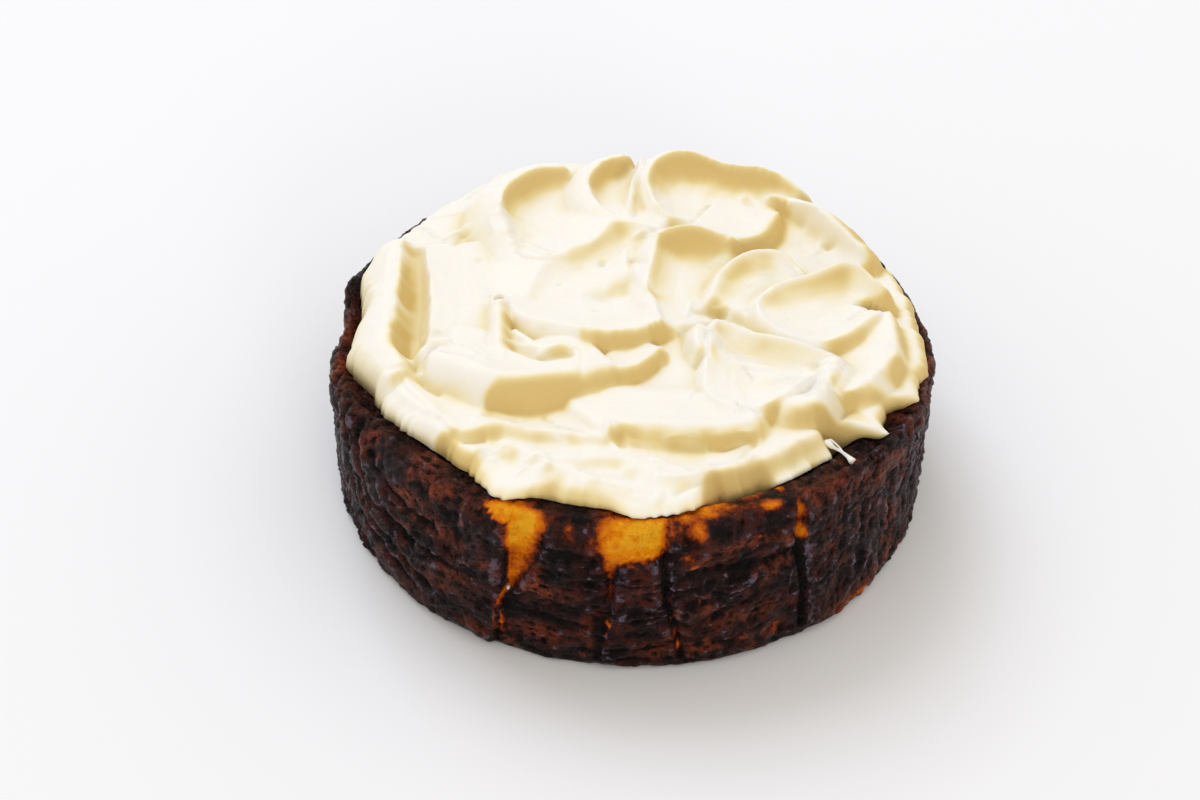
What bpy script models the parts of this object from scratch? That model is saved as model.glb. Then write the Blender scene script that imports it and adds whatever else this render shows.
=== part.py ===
# Uncut baked cheesecake with a burnt crust and a thick swirled layer of whipped cream.
# Lengths and places below are millimetres and angles are degrees, counted anticlockwise
# from +X; MM turns them into metres. The base centre is the origin and the front faces -Y.

import bmesh
import bpy
import numpy as np

MM = 0.001

# Cake body
WALL_RADIUS = 101.4
FOOT_RADIUS = 2.6
BASIN_HEIGHT = 47.0
BASIN_RADIUS = 80.0
BASIN_START = 91.0
THIN_CREST_RADIUS = 98.2
SHOULDER_DROP = 4.2
CUT_BELOW_BASE = 0.8
WALL_COLUMNS = 480
WALL_ROWS = 44
SHOULDER_ROWS = 6
SLOPE_ROWS = 14
CAKE_KEEP = 0.088
BOX_CENTRE = (-0.497, -0.430)

# Cream layer
CREAM_GAP = 0.4
CREAM_EDGE_GAP = 0.6
CREAM_RADIUS = 93.0
CREAM_MIDDLE = 64.3
CREAM_EDGE_FALL = 3.3
LIP_WIDTH = 4.5
CREAM_GRID = 150
CREAM_KEEP = 0.085

# Height of the rim's top round the cake: angle, height
RIM = [
    (0, 53.5), (10, 51.5), (22, 50), (45, 50.5), (70, 49.5), (95, 50), (120, 50.5), (145, 51),
    (160, 53), (166, 57), (170, 52), (174, 48), (180, 49.5), (188, 52.5), (200, 56), (225, 58),
    (255, 59), (285, 59.5), (300, 60.5), (312, 62), (322, 61), (335, 58), (350, 55),
]

# Radius of the rim's crest round the cake: a broad shoulder at the front, thin rims elsewhere
CREST = [
    (0, 98.0), (150, 98.2), (165, 98.6), (175, 96.8), (186, 98.4), (200, 98.2), (214, 95.2), (250, 94.6),
    (290, 95.0), (301, 97.0), (318, 98.8), (345, 98.4),
]

# Swells and nicks of the cream's outer edge: angle, outward size, width
EDGE = [
    (8, 3, 12), (33, -5, 8), (76, 2, 12), (93, -4, 7), (117, 4, 9), (163, 3, 7), (178, -2, 5), (191, 3, 6),
    (203, -1.5, 4), (226, -5, 12), (246, 2.5, 4), (257, -5, 8), (273, 1.5, 5), (294, -7, 9), (309, -4.5, 6),
    (319.5, -11, 4), (326.4, 4, 1.4), (333, -1.8, 2.2), (339.3, 4, 2.6), (349, 5, 9),
]


# Clear the scene and make the collection
for old in list(bpy.data.objects):
    bpy.data.objects.remove(old, do_unlink=True)
part = bpy.data.collections.new("cheesecake_with_cream")
bpy.context.scene.collection.children.link(part)


def ease(value):
    """Smooth step from 0 to 1."""
    t = np.clip(value, 0.0, 1.0)
    return t * t * (3.0 - 2.0 * t)


def round_the_cake(angle, table):
    """Height at an angle, eased between the table's entries."""
    turned = np.degrees(angle) % 360.0
    angles = np.array([entry[0] for entry in table] + [table[0][0] + 360.0])
    values = np.array([entry[1] for entry in table] + [table[0][1]])
    at = np.clip(np.searchsorted(angles, turned, side="right") - 1, 0, len(angles) - 2)
    share = ease((turned - angles[at]) / (angles[at + 1] - angles[at]))
    return values[at] + (values[at + 1] - values[at]) * share


def angle_gap(angle, centre):
    """Degrees from a direction, from -180 to 180."""
    return (np.degrees(angle) - centre + 180.0) % 360.0 - 180.0


def smooth_way(points, steps=4):
    """Smooth line through a few points."""
    p = np.asarray(points, float)
    p = np.vstack([2 * p[0] - p[1], p, 2 * p[-1] - p[-2]])
    t = np.linspace(0.0, 1.0, steps, endpoint=False)[:, None]
    spans = []
    for a, b, c, d in zip(p[:-3], p[1:-2], p[2:-1], p[3:]):
        cubic = 3 * b - a - 3 * c + d
        square = 2 * a - 5 * b + 4 * c - d
        spans.append(0.5 * (2 * b + (c - a) * t + square * t ** 2 + cubic * t ** 3))
    spans.append(p[-2][None])
    return np.vstack(spans)


def beside(way, x, y, soft=1.6):
    """Value of the way at its nearest part, length past an end, distance to the left."""
    last = len(way) - 2
    best = np.full(x.shape, 1e9)
    past = np.zeros_like(x)
    left = np.zeros_like(x)
    spans = []
    for i in range(last + 1):
        a = way[i]
        b = way[i + 1]
        length = np.hypot(b[0] - a[0], b[1] - a[1]) + 1e-9
        ahead = ((b[0] - a[0]) / length, (b[1] - a[1]) / length)
        along = (x - a[0]) * ahead[0] + (y - a[1]) * ahead[1]
        across = (y - a[1]) * ahead[0] - (x - a[0]) * ahead[1]
        held = np.clip(along, 0.0, length)
        over = along - held
        away = np.hypot(over, across)
        spans.append((away, a[2] + (b[2] - a[2]) * held / length))
        if i > 0:
            over = np.maximum(over, 0.0)
        if i < last:
            over = np.minimum(over, 0.0)
        nearer = away < best - 1e-9
        best[nearer] = away[nearer]
        past[nearer] = np.abs(over)[nearer]
        sideways = np.sqrt(np.maximum(away ** 2 - over ** 2, 0.0)) * np.where(across >= 0, 1, -1)
        left[nearer] = sideways[nearer]
    value = np.zeros_like(x)
    total = np.zeros_like(x)
    for away, level in spans:
        weight = np.exp((best - away) / soft)
        value += weight * level
        total += weight
    return value / total, past, left


def lower_of(a, b, blend):
    """Smaller of two heights, with a rounded crease."""
    h = np.maximum(blend - np.abs(a - b), 0.0) / blend
    return np.minimum(a, b) - h * h * blend / 4


def higher_of(a, b, blend):
    """Larger of two heights, with a rounded crease."""
    return -lower_of(-a, -b, blend)


class Surface:
    """Heights over places in a plane, shaped by one stroke after another."""

    def __init__(self, x, y, height):
        self.x = x
        self.y = y
        self.height = height

    def close_to(self, way, reach):
        low = way[:, :2].min(0) - reach
        high = way[:, :2].max(0) + reach
        inside_x = (self.x > low[0]) & (self.x < high[0])
        return inside_x & (self.y > low[1]) & (self.y < high[1])

    def sweep(self, points, wall, floor, back, fall, rounding=1.5, reach=16.0, end=5.0):
        """A spatula's crest: left of it a wall curves to the floor, right of it a face falls."""
        way = smooth_way(points)
        near = self.close_to(way, 32.0)
        top, past, left = beside(way, self.x[near], self.y[near])
        inside = np.maximum(left, 0.0)
        drop = (top - floor) * (1.0 - np.exp(-inside / wall))
        fade = 0.06 * np.maximum(inside - reach, 0.0) ** 2
        outside = fall * (np.maximum(-left, 0.0) / back) ** rounding
        crest = top - drop - fade - outside - 6.0 * (past / end) ** 2
        self.height[near] = higher_of(self.height[near], crest, 1.0)

    def roll(self, points, width, fall):
        """A rounded roll of cream along the way."""
        way = smooth_way(points)
        near = self.close_to(way, 2.2 * width)
        top, past, left = beside(way, self.x[near], self.y[near])
        rounded = top - fall * (past ** 2 + left ** 2) / width ** 2
        self.height[near] = higher_of(self.height[near], rounded, 0.9)

    def scoop(self, points, left_width, right_width, rise, end):
        """A trough cut along the way."""
        way = smooth_way(points)
        near = self.close_to(way, 2.2 * max(left_width, right_width, end))
        bottom, past, left = beside(way, self.x[near], self.y[near])
        width = np.where(left > 0, left_width, right_width)
        trough = bottom + rise * ((past / end) ** 2 + (left / width) ** 2)
        self.height[near] = lower_of(self.height[near], trough, 0.7)

    def press(self, points, width, depth):
        """A soft groove pressed along the way, or a ridge for a negative depth."""
        way = smooth_way([(x, y, 0.0) for x, y in points])
        near = self.close_to(way, 3.0 * width)
        unused, past, left = beside(way, self.x[near], self.y[near])
        self.height[near] -= depth * np.exp(-(past ** 2 + left ** 2) / width ** 2)

    def flap(self, points, proud, fade):
        """A layer that ends along the way: the part left of it stands proud."""
        way = smooth_way([(x, y, 0.0) for x, y in points])
        near = self.close_to(way, 3.0 * fade)
        unused, past, left = beside(way, self.x[near], self.y[near])
        step = ease((left + 0.5) / 1.0) * np.exp(-np.maximum(left, 0.0) / fade)
        self.height[near] += proud * step * np.exp(-(past / 3.0) ** 2)


def crust_top(x, y):
    """Height of the crust's upper side: rim, the dip inside it and the flat basin."""
    radius = np.hypot(x, y)
    angle = np.arctan2(y, x)
    rim = round_the_cake(angle, RIM)
    dip = 0.8
    dip = dip + 3.0 * np.exp(-(angle_gap(angle, 318.0) / 16.0) ** 2)
    dip = dip + 2.4 * np.exp(-(angle_gap(angle, 185.0) / 26.0) ** 2)
    dip = dip + 1.0 * np.exp(-(angle_gap(angle, 60.0) / 70.0) ** 2)
    ledge = rim - dip * ease((round_the_cake(angle, CREST) - radius) / 4.2)
    inward = ease((BASIN_START - radius) / (BASIN_START - BASIN_RADIUS))
    return ledge + (BASIN_HEIGHT - ledge) * inward


def cream_edge(angle):
    """Outline radius of the cream."""
    radius = np.full(np.shape(angle), CREAM_RADIUS)
    for centre, size, width in EDGE:
        radius = radius + size * np.exp(-(angle_gap(angle, centre) / width) ** 2)
    return radius


def wall_relief(angle, height):
    """Outward relief of the burnt wall: pleats of the baking paper, overlapping skins, cracks."""
    turned = np.degrees(angle) % 360.0
    along = np.radians(turned) * WALL_RADIUS
    wall = Surface(along, height, np.zeros_like(along))

    def at(points):
        return [(np.radians(turn) * WALL_RADIUS, level) for turn, level in points]

    # Wide skin at the left of the front, with a straight right edge and a stepped lower edge
    wall.flap(at([(245, 4), (246.5, 22), (247.2, 40), (247.3, 56), (243, 54), (238, 50)]), 1.5, 26.0)
    wall.flap(at([(203, 40), (212, 35), (224, 29), (235, 28), (246, 31)]), 1.1, 11.0)
    wall.press(at([(206, 27), (218, 27), (230, 25), (243, 28)]), 3.2, 1.2)
    wall.press(at([(209, 55), (216, 52), (221, 56)]), 4.0, 1.0)
    wall.press(at([(229, 56), (236, 50), (238, 43)]), 4.0, 0.9)
    # Middle skins beside the two pale cracks
    wall.flap(at([(255.5, 66), (256, 58), (254, 50), (251, 40), (249, 28)]), 0.9, 13.0)
    wall.press(at([(256, 48), (263, 46)]), 4.2, 1.5)
    wall.flap(at([(265, 17), (256, 19), (247, 20)]), 0.8, 9.0)
    wall.flap(at([(276, 49), (271, 50), (268, 47), (267, 30), (265.5, 12), (265, 4)]), 1.1, 16.0)
    wall.press(at([(275.5, 50), (276.5, 30), (278, 20), (279.5, 5)]), 1.1, 1.5)
    # Skin at the right of the front and the deep seam that ends it
    wall.press(at([(280, 42), (290, 41), (300, 40)]), 3.4, 1.4)
    wall.press(at([(284, 54), (279, 43)]), 2.0, -0.9)
    wall.press(at([(298, 52), (290, 33), (283, 25)]), 2.6, -0.8)
    wall.press(at([(302, 64), (300.7, 50), (301.5, 34), (303, 20), (303, 6)]), 1.4, 2.2)
    wall.flap(at([(302, 66), (301.5, 50), (302.5, 34), (304, 20), (304, 6)]), 0.9, 18.0)
    # Slanting folds at the left side
    for start in (166, 175, 184, 193):
        wall.press(at([(start, 50), (start + 9, 30), (start + 21, 8)]), 2.4, 1.1)
    # Upright pleats round the right side and the back
    for start, lean, depth in ((325, 2, 0.9), (345, -2, 1.3), (8, 3, 1.2), (27, -3, 1.5), (48, 2, 1.1),
                               (71, -2, 1.6), (94, 3, 1.1), (116, -3, 1.4), (136, 2, 1.5), (153, -2, 1.0)):
        wall.press(at([(start, 49), (start + lean, 27), (start, 5)]), 1.5, depth)
        wall.press(at([(start + 5, 44), (start + 10, 30), (start + 15, 27)]), 3.2, 0.6)
    # The pale cracks lie deeper than the skins
    recess = np.zeros_like(along)
    crack_1 = ([10, 28, 36, 42, 50, 58, 66], [245.6, 246.4, 247, 247, 247, 244, 243],
               [246.4, 248.6, 250, 252, 254, 256, 255])
    crack_2 = ([15, 38, 46, 49, 52, 60, 68], [264.6, 265.6, 264.6, 263.6, 263, 262.4, 262],
               [265.6, 266.6, 268, 275, 276, 276.5, 277])
    for levels, starts, ends in (crack_1, crack_2):
        start = np.interp(height, levels, starts)
        end = np.interp(height, levels, ends)
        inside = ease((turned - start) / 0.8) * ease((end - turned) / 0.8)
        recess = recess + inside * ease((height - levels[0]) / 5.0)
    # A shallow waviness all round, whole waves so that it closes
    wave = 0.5 * np.sin(5 * angle + 0.05 * height) + 0.35 * np.sin(13 * angle - 0.09 * height)
    # The right side is a little flatter, and a fold pulls the left edge in
    wave = wave - 1.5 * np.exp(-(angle_gap(angle, 2.0) / 24.0) ** 2)
    pulled = np.exp(-(angle_gap(angle, 175.0) / 5.0) ** 2) * ease((height - 25.0) / 22.0)
    return wall.height - 1.2 * recess + wave - 2.2 * pulled


def shape_cream(x, y):
    """Upper side of the cream: the low mound, then every sweep of the spatula."""
    radius = np.hypot(x, y)
    cream = Surface(x, y, CREAM_MIDDLE - CREAM_EDGE_FALL * (radius / WALL_RADIUS) ** 2.5)
    # Outer band at the left and the broad slope beside its slot
    cream.sweep([(-78, 30, 69.5), (-76, 14, 70), (-79, -2, 70), (-79, -19, 70), (-75, -35, 68)],
                wall=6, floor=61.5, back=12, fall=7, rounding=1.8)
    cream.sweep([(-73, 27, 69), (-69, 12, 68.5), (-66, -16, 68), (-69, -26, 68), (-69, -35, 66.5)],
                wall=9, floor=66, back=2.5, fall=6, reach=20)
    # Hollow at the back left
    cream.sweep([(-26, 68, 73), (-35, 65, 75), (-44, 55, 75), (-46, 43, 73.5), (-41, 29, 70.5),
                 (-36, 20, 68.5)],
                wall=4, floor=66.5, back=10, fall=6, rounding=1.8)
    # Narrow hollow at the back
    cream.sweep([(-4, 76, 73.5), (-12, 71, 74), (-16, 60, 74), (-13, 50, 73), (-3, 42, 71), (9, 40, 69.5)],
                wall=2.5, floor=67, back=9, fall=6, rounding=1.8)
    cream.sweep([(-4, 43, 71), (-2, 54, 74.5), (1, 70, 76.5)], wall=2, floor=67, back=7, fall=5)
    # Large hollow at the back right and its front edge
    cream.sweep([(55, 60, 72), (48, 66, 75.5), (31, 69, 76), (20, 73.5, 77.8), (8, 71, 76.5), (4, 60, 75),
                 (10, 48, 72), (18, 44, 70)],
                wall=4.5, floor=67.5, back=9, fall=9)
    cream.sweep([(20, 40, 70.5), (31, 35, 69.5), (43, 38, 69), (49, 50, 69), (49, 57, 69)],
                wall=16, floor=67.5, back=3, fall=4)
    # Middle hollow: rim, then the lip that it pushes to the front
    cream.sweep([(8, 37, 71.5), (-7, 40, 71.5), (-15, 29, 71), (-28, 21, 70), (-34, 10, 69),
                 (-35, 4, 68.5)],
                wall=5, floor=66.3, back=16, fall=3)
    cream.sweep([(-41, 2, 68.5), (-36, -9, 70), (-20, -16, 71.3), (-5, -18, 71.5), (8, -11, 70.5)],
                wall=8, floor=66.3, back=5.5, fall=8, rounding=1.9)
    # Hollow right of the middle
    cream.sweep([(32, 32, 71.5), (19, 34, 75), (9, 30, 74), (6, 18, 72), (4, 3, 70.5), (9, -11, 69.5)],
                wall=5, floor=65.5, back=6, fall=5)
    # Small hollow
    cream.sweep([(56, 15, 71), (50, 23, 73), (39, 23, 73.5), (30, 15, 71.8), (25, 2, 69.5)],
                wall=5, floor=66.5, back=4, fall=5)
    # Hollow at the right
    cream.sweep([(83, 8, 71), (72, 16, 75.5), (60, 11.5, 73.5), (46, 7, 71.5), (40, -1, 70.5),
                 (46, -13, 70.5), (60, -20, 71), (72, -14, 70.7), (80, -4, 69.5)],
                wall=6, floor=66.3, back=4.5, fall=7)
    # Broad face at the right of the front, its floor and the fold before it
    cream.sweep([(64, -26, 70), (52, -22, 71.7), (38, -19, 72.5), (27, -14, 72.5), (25, -27, 68)],
                wall=10, floor=63.5, back=4, fall=4)
    cream.roll([(21, -15, 71.5), (21, -20, 70.5), (22, -24, 69)], width=4.5, fall=5)
    cream.sweep([(24, -27, 69), (22, -37, 67.7), (25.5, -46, 67.6), (33.5, -51, 68), (43, -49, 68.8),
                 (58, -36, 70)],
                wall=9, floor=64.2, back=4, fall=6)
    cream.roll([(65, -30, 70.8), (62, -40, 70.6), (57, -46.5, 69.6), (49, -48, 68)], width=7, fall=6)
    # Thick roll at the left of the front
    cream.roll([(-67.5, -29.5, 70.3), (-65.5, -25.5, 71), (-61, -24.5, 70.6)], width=4, fall=5)
    cream.sweep([(-63, -31.5, 71.3), (-53, -35.5, 72), (-40, -42, 72.5), (-27, -39.5, 72), (-17, -35.5, 71),
                 (-9, -31, 69.5)],
                wall=6, floor=68.5, back=8.5, fall=7, rounding=2.3, end=4.5)
    # Small curl with an open end
    cream.roll([(-44.6, -2, 71.4), (-44.4, -11, 71), (-43.6, -22, 70.3), (-41.5, -31, 68.6)],
               width=4.3, fall=4.6)
    cream.scoop([(-44.9, -2.2, 67.4), (-43.9, -1.8, 67.4)],
                left_width=1.3, right_width=1.3, rise=3.6, end=1.5)
    # Pocket under the middle lip with two small rolls in it
    cream.scoop([(-38, -23.5, 66), (-30, -28.5, 66), (-21, -28.5, 67.5)],
                left_width=4, right_width=3.5, rise=4, end=4)
    cream.roll([(-39, -15.5, 68.6), (-34.5, -19.5, 68.9), (-31.5, -23.2, 68)], width=2.6, fall=3)
    cream.roll([(-30, -25.8, 68.4), (-25, -23.8, 69.8), (-20.5, -25.3, 69.6)], width=2.4, fall=3.4)
    # Small roll under the middle lip
    cream.sweep([(-10, -30, 68), (-2, -34, 69), (8, -24, 69)],
                wall=5, floor=66.5, back=4, fall=6, rounding=1.9)
    # Roll at the middle of the front and the two folds on its face
    cream.sweep([(-9, -60, 65), (-5, -58, 67.8), (10, -60, 68.5), (28, -59, 68.5), (39, -54, 67)],
                wall=9, floor=65.5, back=8, fall=7, rounding=1.9)
    cream.sweep([(-2, -64, 65.5), (15, -65, 66), (37, -60, 66)], wall=2, floor=64, back=4, fall=5, end=3)
    cream.sweep([(1, -68, 62.5), (16, -75, 62.5), (39, -61, 64)], wall=2, floor=61, back=4, fall=5, end=3)
    # Low ridges in front of the left roll
    cream.sweep([(-76, -33, 66), (-68, -47, 65.5), (-54, -61, 65), (-43, -58, 66), (-32, -61, 66),
                 (-9, -63, 65)],
                wall=7, floor=62, back=5, fall=4)
    cream.sweep([(-66, -50, 63.5), (-57, -61, 63.5), (-48, -68, 63.5)], wall=3, floor=62, back=12, fall=3)
    cream.sweep([(-40, -65, 64.5), (-24, -73, 64.5), (-8, -71, 64.5), (8, -75, 64)],
                wall=6, floor=62.5, back=7, fall=4)
    cream.sweep([(-33, -73, 63.5), (-26, -77, 64), (-10, -81, 63.5), (8, -86, 63)],
                wall=4, floor=62, back=8, fall=4)
    cream.sweep([(-1, -75, 63.5), (18, -78, 64), (39, -70, 64), (58, -56, 63.5)],
                wall=6, floor=62, back=8, fall=4)
    # Outer band at the right
    cream.sweep([(62, -44, 67), (74, -39, 68), (83, -26, 69), (85, -15, 69), (84, -3, 69)],
                wall=8, floor=66, back=3, fall=4)
    # Hollow behind the right side
    cream.sweep([(79, 29, 69), (66, 44, 73.5), (58, 50, 74), (47, 56, 72)],
                wall=2.6, floor=64, back=9, fall=8, reach=7)
    # Slot at the left, running on under the thick roll
    cream.scoop([(-74, 26, 64), (-72, 6, 61.5), (-71, -24, 60.5)],
                left_width=3.6, right_width=6.5, rise=7, end=6)
    # Small roll at the left edge
    cream.sweep([(-92, -25, 66), (-80, -36, 67), (-75, -31, 67)], wall=6, floor=65, back=3, fall=5)
    return cream.height


def square_to_disc(count):
    """Even grid over a disc of radius 1."""
    u, v = np.meshgrid(np.linspace(-1, 1, count + 1), np.linspace(-1, 1, count + 1))
    u = u.ravel()
    v = v.ravel()
    wide = np.abs(u) > np.abs(v)
    radius = np.where(wide, u, v)
    lesser = np.where(wide, v, u)
    turn = np.pi / 4 * lesser / np.where(np.abs(radius) < 1e-12, 1.0, radius)
    x = np.where(wide, radius * np.cos(turn), radius * np.sin(turn))
    y = np.where(wide, radius * np.sin(turn), radius * np.cos(turn))
    return x, y


def add_object(name, points, faces, colour, roughness):
    """Mesh object in the part's collection with its own material."""
    centred = (points - (BOX_CENTRE[0], BOX_CENTRE[1], 0.0)) * MM
    mesh = bpy.data.meshes.new(name)
    mesh.from_pydata([tuple(point) for point in centred], [], faces)
    thing = bpy.data.objects.new(name, mesh)
    part.objects.link(thing)
    material = bpy.data.materials.new(name)
    material.use_nodes = True
    shader = material.node_tree.nodes["Principled BSDF"]
    shader.inputs["Base Color"].default_value = colour
    shader.inputs["Roughness"].default_value = roughness
    shader.inputs["Metallic"].default_value = 0.0
    mesh.materials.append(material)
    return thing


def thin_out(thing, keep):
    """Fewer triangles where the surface is calm."""
    modifier = thing.modifiers.new("thin_out", "DECIMATE")
    modifier.ratio = keep
    bpy.context.view_layer.objects.active = thing
    bpy.ops.object.modifier_apply(modifier=modifier.name)


def make_cake():
    """Body of revolution with the wall's relief, then cut flat at the base."""
    angle = np.linspace(0.0, 2.0 * np.pi, WALL_COLUMNS, endpoint=False)
    rim = round_the_cake(angle, RIM)
    crest = round_the_cake(angle, CREST)
    drop = SHOULDER_DROP + 1.2 * (THIN_CREST_RADIUS - crest)
    rows = []
    for radius in (60.0, 92.0):
        rows.append((np.full_like(angle, radius), np.full_like(angle, -CUT_BELOW_BASE)))
    for share in (0.0, 0.35, 0.7):
        turn = share * np.pi / 2
        radius = WALL_RADIUS - FOOT_RADIUS * (1.0 - np.sin(turn))
        level = FOOT_RADIUS * (1.0 - np.cos(turn)) - CUT_BELOW_BASE * (1.0 - share)
        relief = wall_relief(angle, np.full_like(angle, 1.0)) * share
        rows.append((radius + relief, np.full_like(angle, level)))
    for i in range(WALL_ROWS + 1):
        level = FOOT_RADIUS + (rim - drop - FOOT_RADIUS) * i / WALL_ROWS
        rows.append((WALL_RADIUS + wall_relief(angle, level), level))
    top_relief = wall_relief(angle, rim - drop)
    for i in range(1, SHOULDER_ROWS + 1):
        turn = i / SHOULDER_ROWS * np.pi / 2
        radius = crest + (WALL_RADIUS - crest + top_relief) * np.cos(turn)
        rows.append((radius, rim - drop * (1.0 - np.sin(turn))))
    for i in range(1, SLOPE_ROWS + 1):
        ring = crest + (BASIN_RADIUS - crest) * i / SLOPE_ROWS
        rows.append((ring, crust_top(ring * np.cos(angle), ring * np.sin(angle))))
    rows.append((np.full_like(angle, 60.0), np.full_like(angle, BASIN_HEIGHT)))
    points = [[0.0, 0.0, -CUT_BELOW_BASE]]
    for radius, level in rows:
        points.extend(np.stack([radius * np.cos(angle), radius * np.sin(angle), level], axis=1))
    points.append([0.0, 0.0, BASIN_HEIGHT])
    faces = []
    last = len(points) - 1
    for i in range(WALL_COLUMNS):
        j = (i + 1) % WALL_COLUMNS
        faces.append((0, 1 + j, 1 + i))
        for row in range(len(rows) - 1):
            low = 1 + row * WALL_COLUMNS
            high = low + WALL_COLUMNS
            faces.append((low + i, low + j, high + j, high + i))
        high = 1 + (len(rows) - 1) * WALL_COLUMNS
        faces.append((high + i, high + j, last))
    cake = add_object("cheesecake", np.array(points), faces, (0.030, 0.011, 0.008, 1.0), 0.42)
    thin_out(cake, CAKE_KEEP)
    body = bmesh.new()
    body.from_mesh(cake.data)
    geometry = body.verts[:] + body.edges[:] + body.faces[:]
    bmesh.ops.bisect_plane(body, geom=geometry, plane_co=(0, 0, 0), plane_no=(0, 0, 1), clear_inner=True)
    bmesh.ops.holes_fill(body, edges=[edge for edge in body.edges if edge.is_boundary], sides=0)
    bmesh.ops.remove_doubles(body, verts=body.verts, dist=0.00005)
    bmesh.ops.triangulate(body, faces=body.faces[:])
    bmesh.ops.recalc_face_normals(body, faces=body.faces[:])
    body.to_mesh(cake.data)
    body.free()


def make_cream():
    """Closed layer: the swept upper side over an underside that follows the crust."""
    count = CREAM_GRID
    unit_x, unit_y = square_to_disc(count)
    share = np.hypot(unit_x, unit_y)
    edge = cream_edge(np.arctan2(unit_y, unit_x))
    x = unit_x * edge
    y = unit_y * edge
    slope = ease((share * edge - BASIN_RADIUS + 6.0) / 6.0)
    under = crust_top(x, y) + CREAM_GAP + CREAM_EDGE_GAP * slope
    inset = np.clip((1.0 - share) * edge / LIP_WIDTH, 0.0, 1.0)
    lip = np.sqrt(1.0 - (1.0 - inset) ** 2)
    top = under + (shape_cream(x, y) - under) * lip
    side = count + 1
    index = np.arange(side * side).reshape(side, side)
    inner = np.zeros((side, side), bool)
    inner[1:-1, 1:-1] = True
    below = index.copy()
    below[inner] = side * side + np.arange(inner.sum())
    inner = inner.ravel()
    points = np.vstack([np.stack([x, y, top], axis=1), np.stack([x, y, under], axis=1)[inner]])
    faces = []
    for row in range(count):
        for column in range(count):
            corners = ((row, column), (row, column + 1), (row + 1, column + 1), (row + 1, column))
            faces.append(tuple(int(index[corner]) for corner in corners))
            faces.append(tuple(int(below[corner]) for corner in reversed(corners)))
    cream = add_object("whipped_cream", points, faces, (0.86, 0.80, 0.62, 1.0), 0.5)
    thin_out(cream, CREAM_KEEP)
    body = bmesh.new()
    body.from_mesh(cream.data)
    bmesh.ops.remove_doubles(body, verts=body.verts, dist=0.00005)
    bmesh.ops.triangulate(body, faces=body.faces[:])
    bmesh.ops.recalc_face_normals(body, faces=body.faces[:])
    body.to_mesh(cream.data)
    body.free()


make_cake()
make_cream()
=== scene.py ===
import bpy
import numpy as np
from mathutils import Matrix, Vector


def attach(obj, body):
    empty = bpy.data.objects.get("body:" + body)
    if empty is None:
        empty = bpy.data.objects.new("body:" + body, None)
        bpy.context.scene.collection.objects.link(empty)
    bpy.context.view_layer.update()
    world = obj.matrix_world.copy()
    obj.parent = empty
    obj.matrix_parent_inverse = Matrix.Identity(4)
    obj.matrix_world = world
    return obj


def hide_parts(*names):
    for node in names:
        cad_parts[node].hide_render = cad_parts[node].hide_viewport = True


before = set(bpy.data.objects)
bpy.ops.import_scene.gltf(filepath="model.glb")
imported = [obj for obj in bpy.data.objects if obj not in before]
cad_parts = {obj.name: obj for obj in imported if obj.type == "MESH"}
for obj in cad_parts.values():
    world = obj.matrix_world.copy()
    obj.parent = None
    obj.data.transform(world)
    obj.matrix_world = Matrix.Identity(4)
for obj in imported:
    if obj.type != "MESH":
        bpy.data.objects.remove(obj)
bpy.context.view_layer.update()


# Camera, floor and light: a long lens looks down onto the front of the cake on a pale paper floor.
# A large window behind and to the left lights it, with a reflector in front.
# Distances are metres; the image is 1200 x 800.
IMAGE_WIDTH = 1200
FOCAL_PIXELS = 2424
SENSOR_WIDTH = 36.0
CAMERA_PLACE = Vector((-0.010225, -0.626502, 0.572326))
CAMERA_RIGHT = Vector((0.99974283, 0.01491406, 0.01708331))
CAMERA_UP = Vector((-0.02267749, 0.65748992, 0.753122))


def linear(code):
    """Linear colour of an sRGB hex code."""
    parts = [int(code[i:i + 2], 16) / 255 for i in (1, 3, 5)]
    return tuple(((c + 0.055) / 1.055) ** 2.4 if c > 0.04045 else c / 12.92 for c in parts) + (1.0,)


def add_node(tree, kind, settings=None, inputs=None, stops=()):
    """Node with its settings; each input gets a value or a link, and a ramp its colour stops."""
    node = tree.nodes.new(kind)
    for key, value in (settings or {}).items():
        setattr(node, key, value)
    for key, value in (inputs or {}).items():
        if isinstance(value, bpy.types.NodeSocket):
            tree.links.new(value, node.inputs[key])
        else:
            node.inputs[key].default_value = value
    if stops:
        elements = node.color_ramp.elements
        while len(elements) < len(stops):
            elements.new(0.5)
        for element, (position, code) in zip(elements, stops):
            element.position = position
            element.color = linear(code)
    return node


def add_material(name):
    """Empty node material and its tree."""
    material = bpy.data.materials.new(name)
    material.use_nodes = True
    tree = material.node_tree
    tree.nodes.clear()
    return material, tree


camera_data = bpy.data.cameras.new("camera")
camera_data.sensor_width = SENSOR_WIDTH
camera_data.lens = FOCAL_PIXELS / IMAGE_WIDTH * SENSOR_WIDTH
camera = bpy.data.objects.new("camera", camera_data)
bpy.context.scene.collection.objects.link(camera)
camera_back = CAMERA_RIGHT.cross(CAMERA_UP)
turn = Matrix((CAMERA_RIGHT, CAMERA_UP, camera_back)).transposed().to_4x4()
camera.matrix_world = Matrix.Translation(CAMERA_PLACE) @ turn
bpy.context.scene.camera = camera

FLOOR_HALF = 6.0
floor_mesh = bpy.data.meshes.new("floor")
floor_mesh.from_pydata([(-FLOOR_HALF, -FLOOR_HALF, 0), (FLOOR_HALF, -FLOOR_HALF, 0),
                        (FLOOR_HALF, FLOOR_HALF, 0), (-FLOOR_HALF, FLOOR_HALF, 0)], [], [(0, 1, 2, 3)])
floor = bpy.data.objects.new("floor", floor_mesh)
bpy.context.scene.collection.objects.link(floor)
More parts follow.
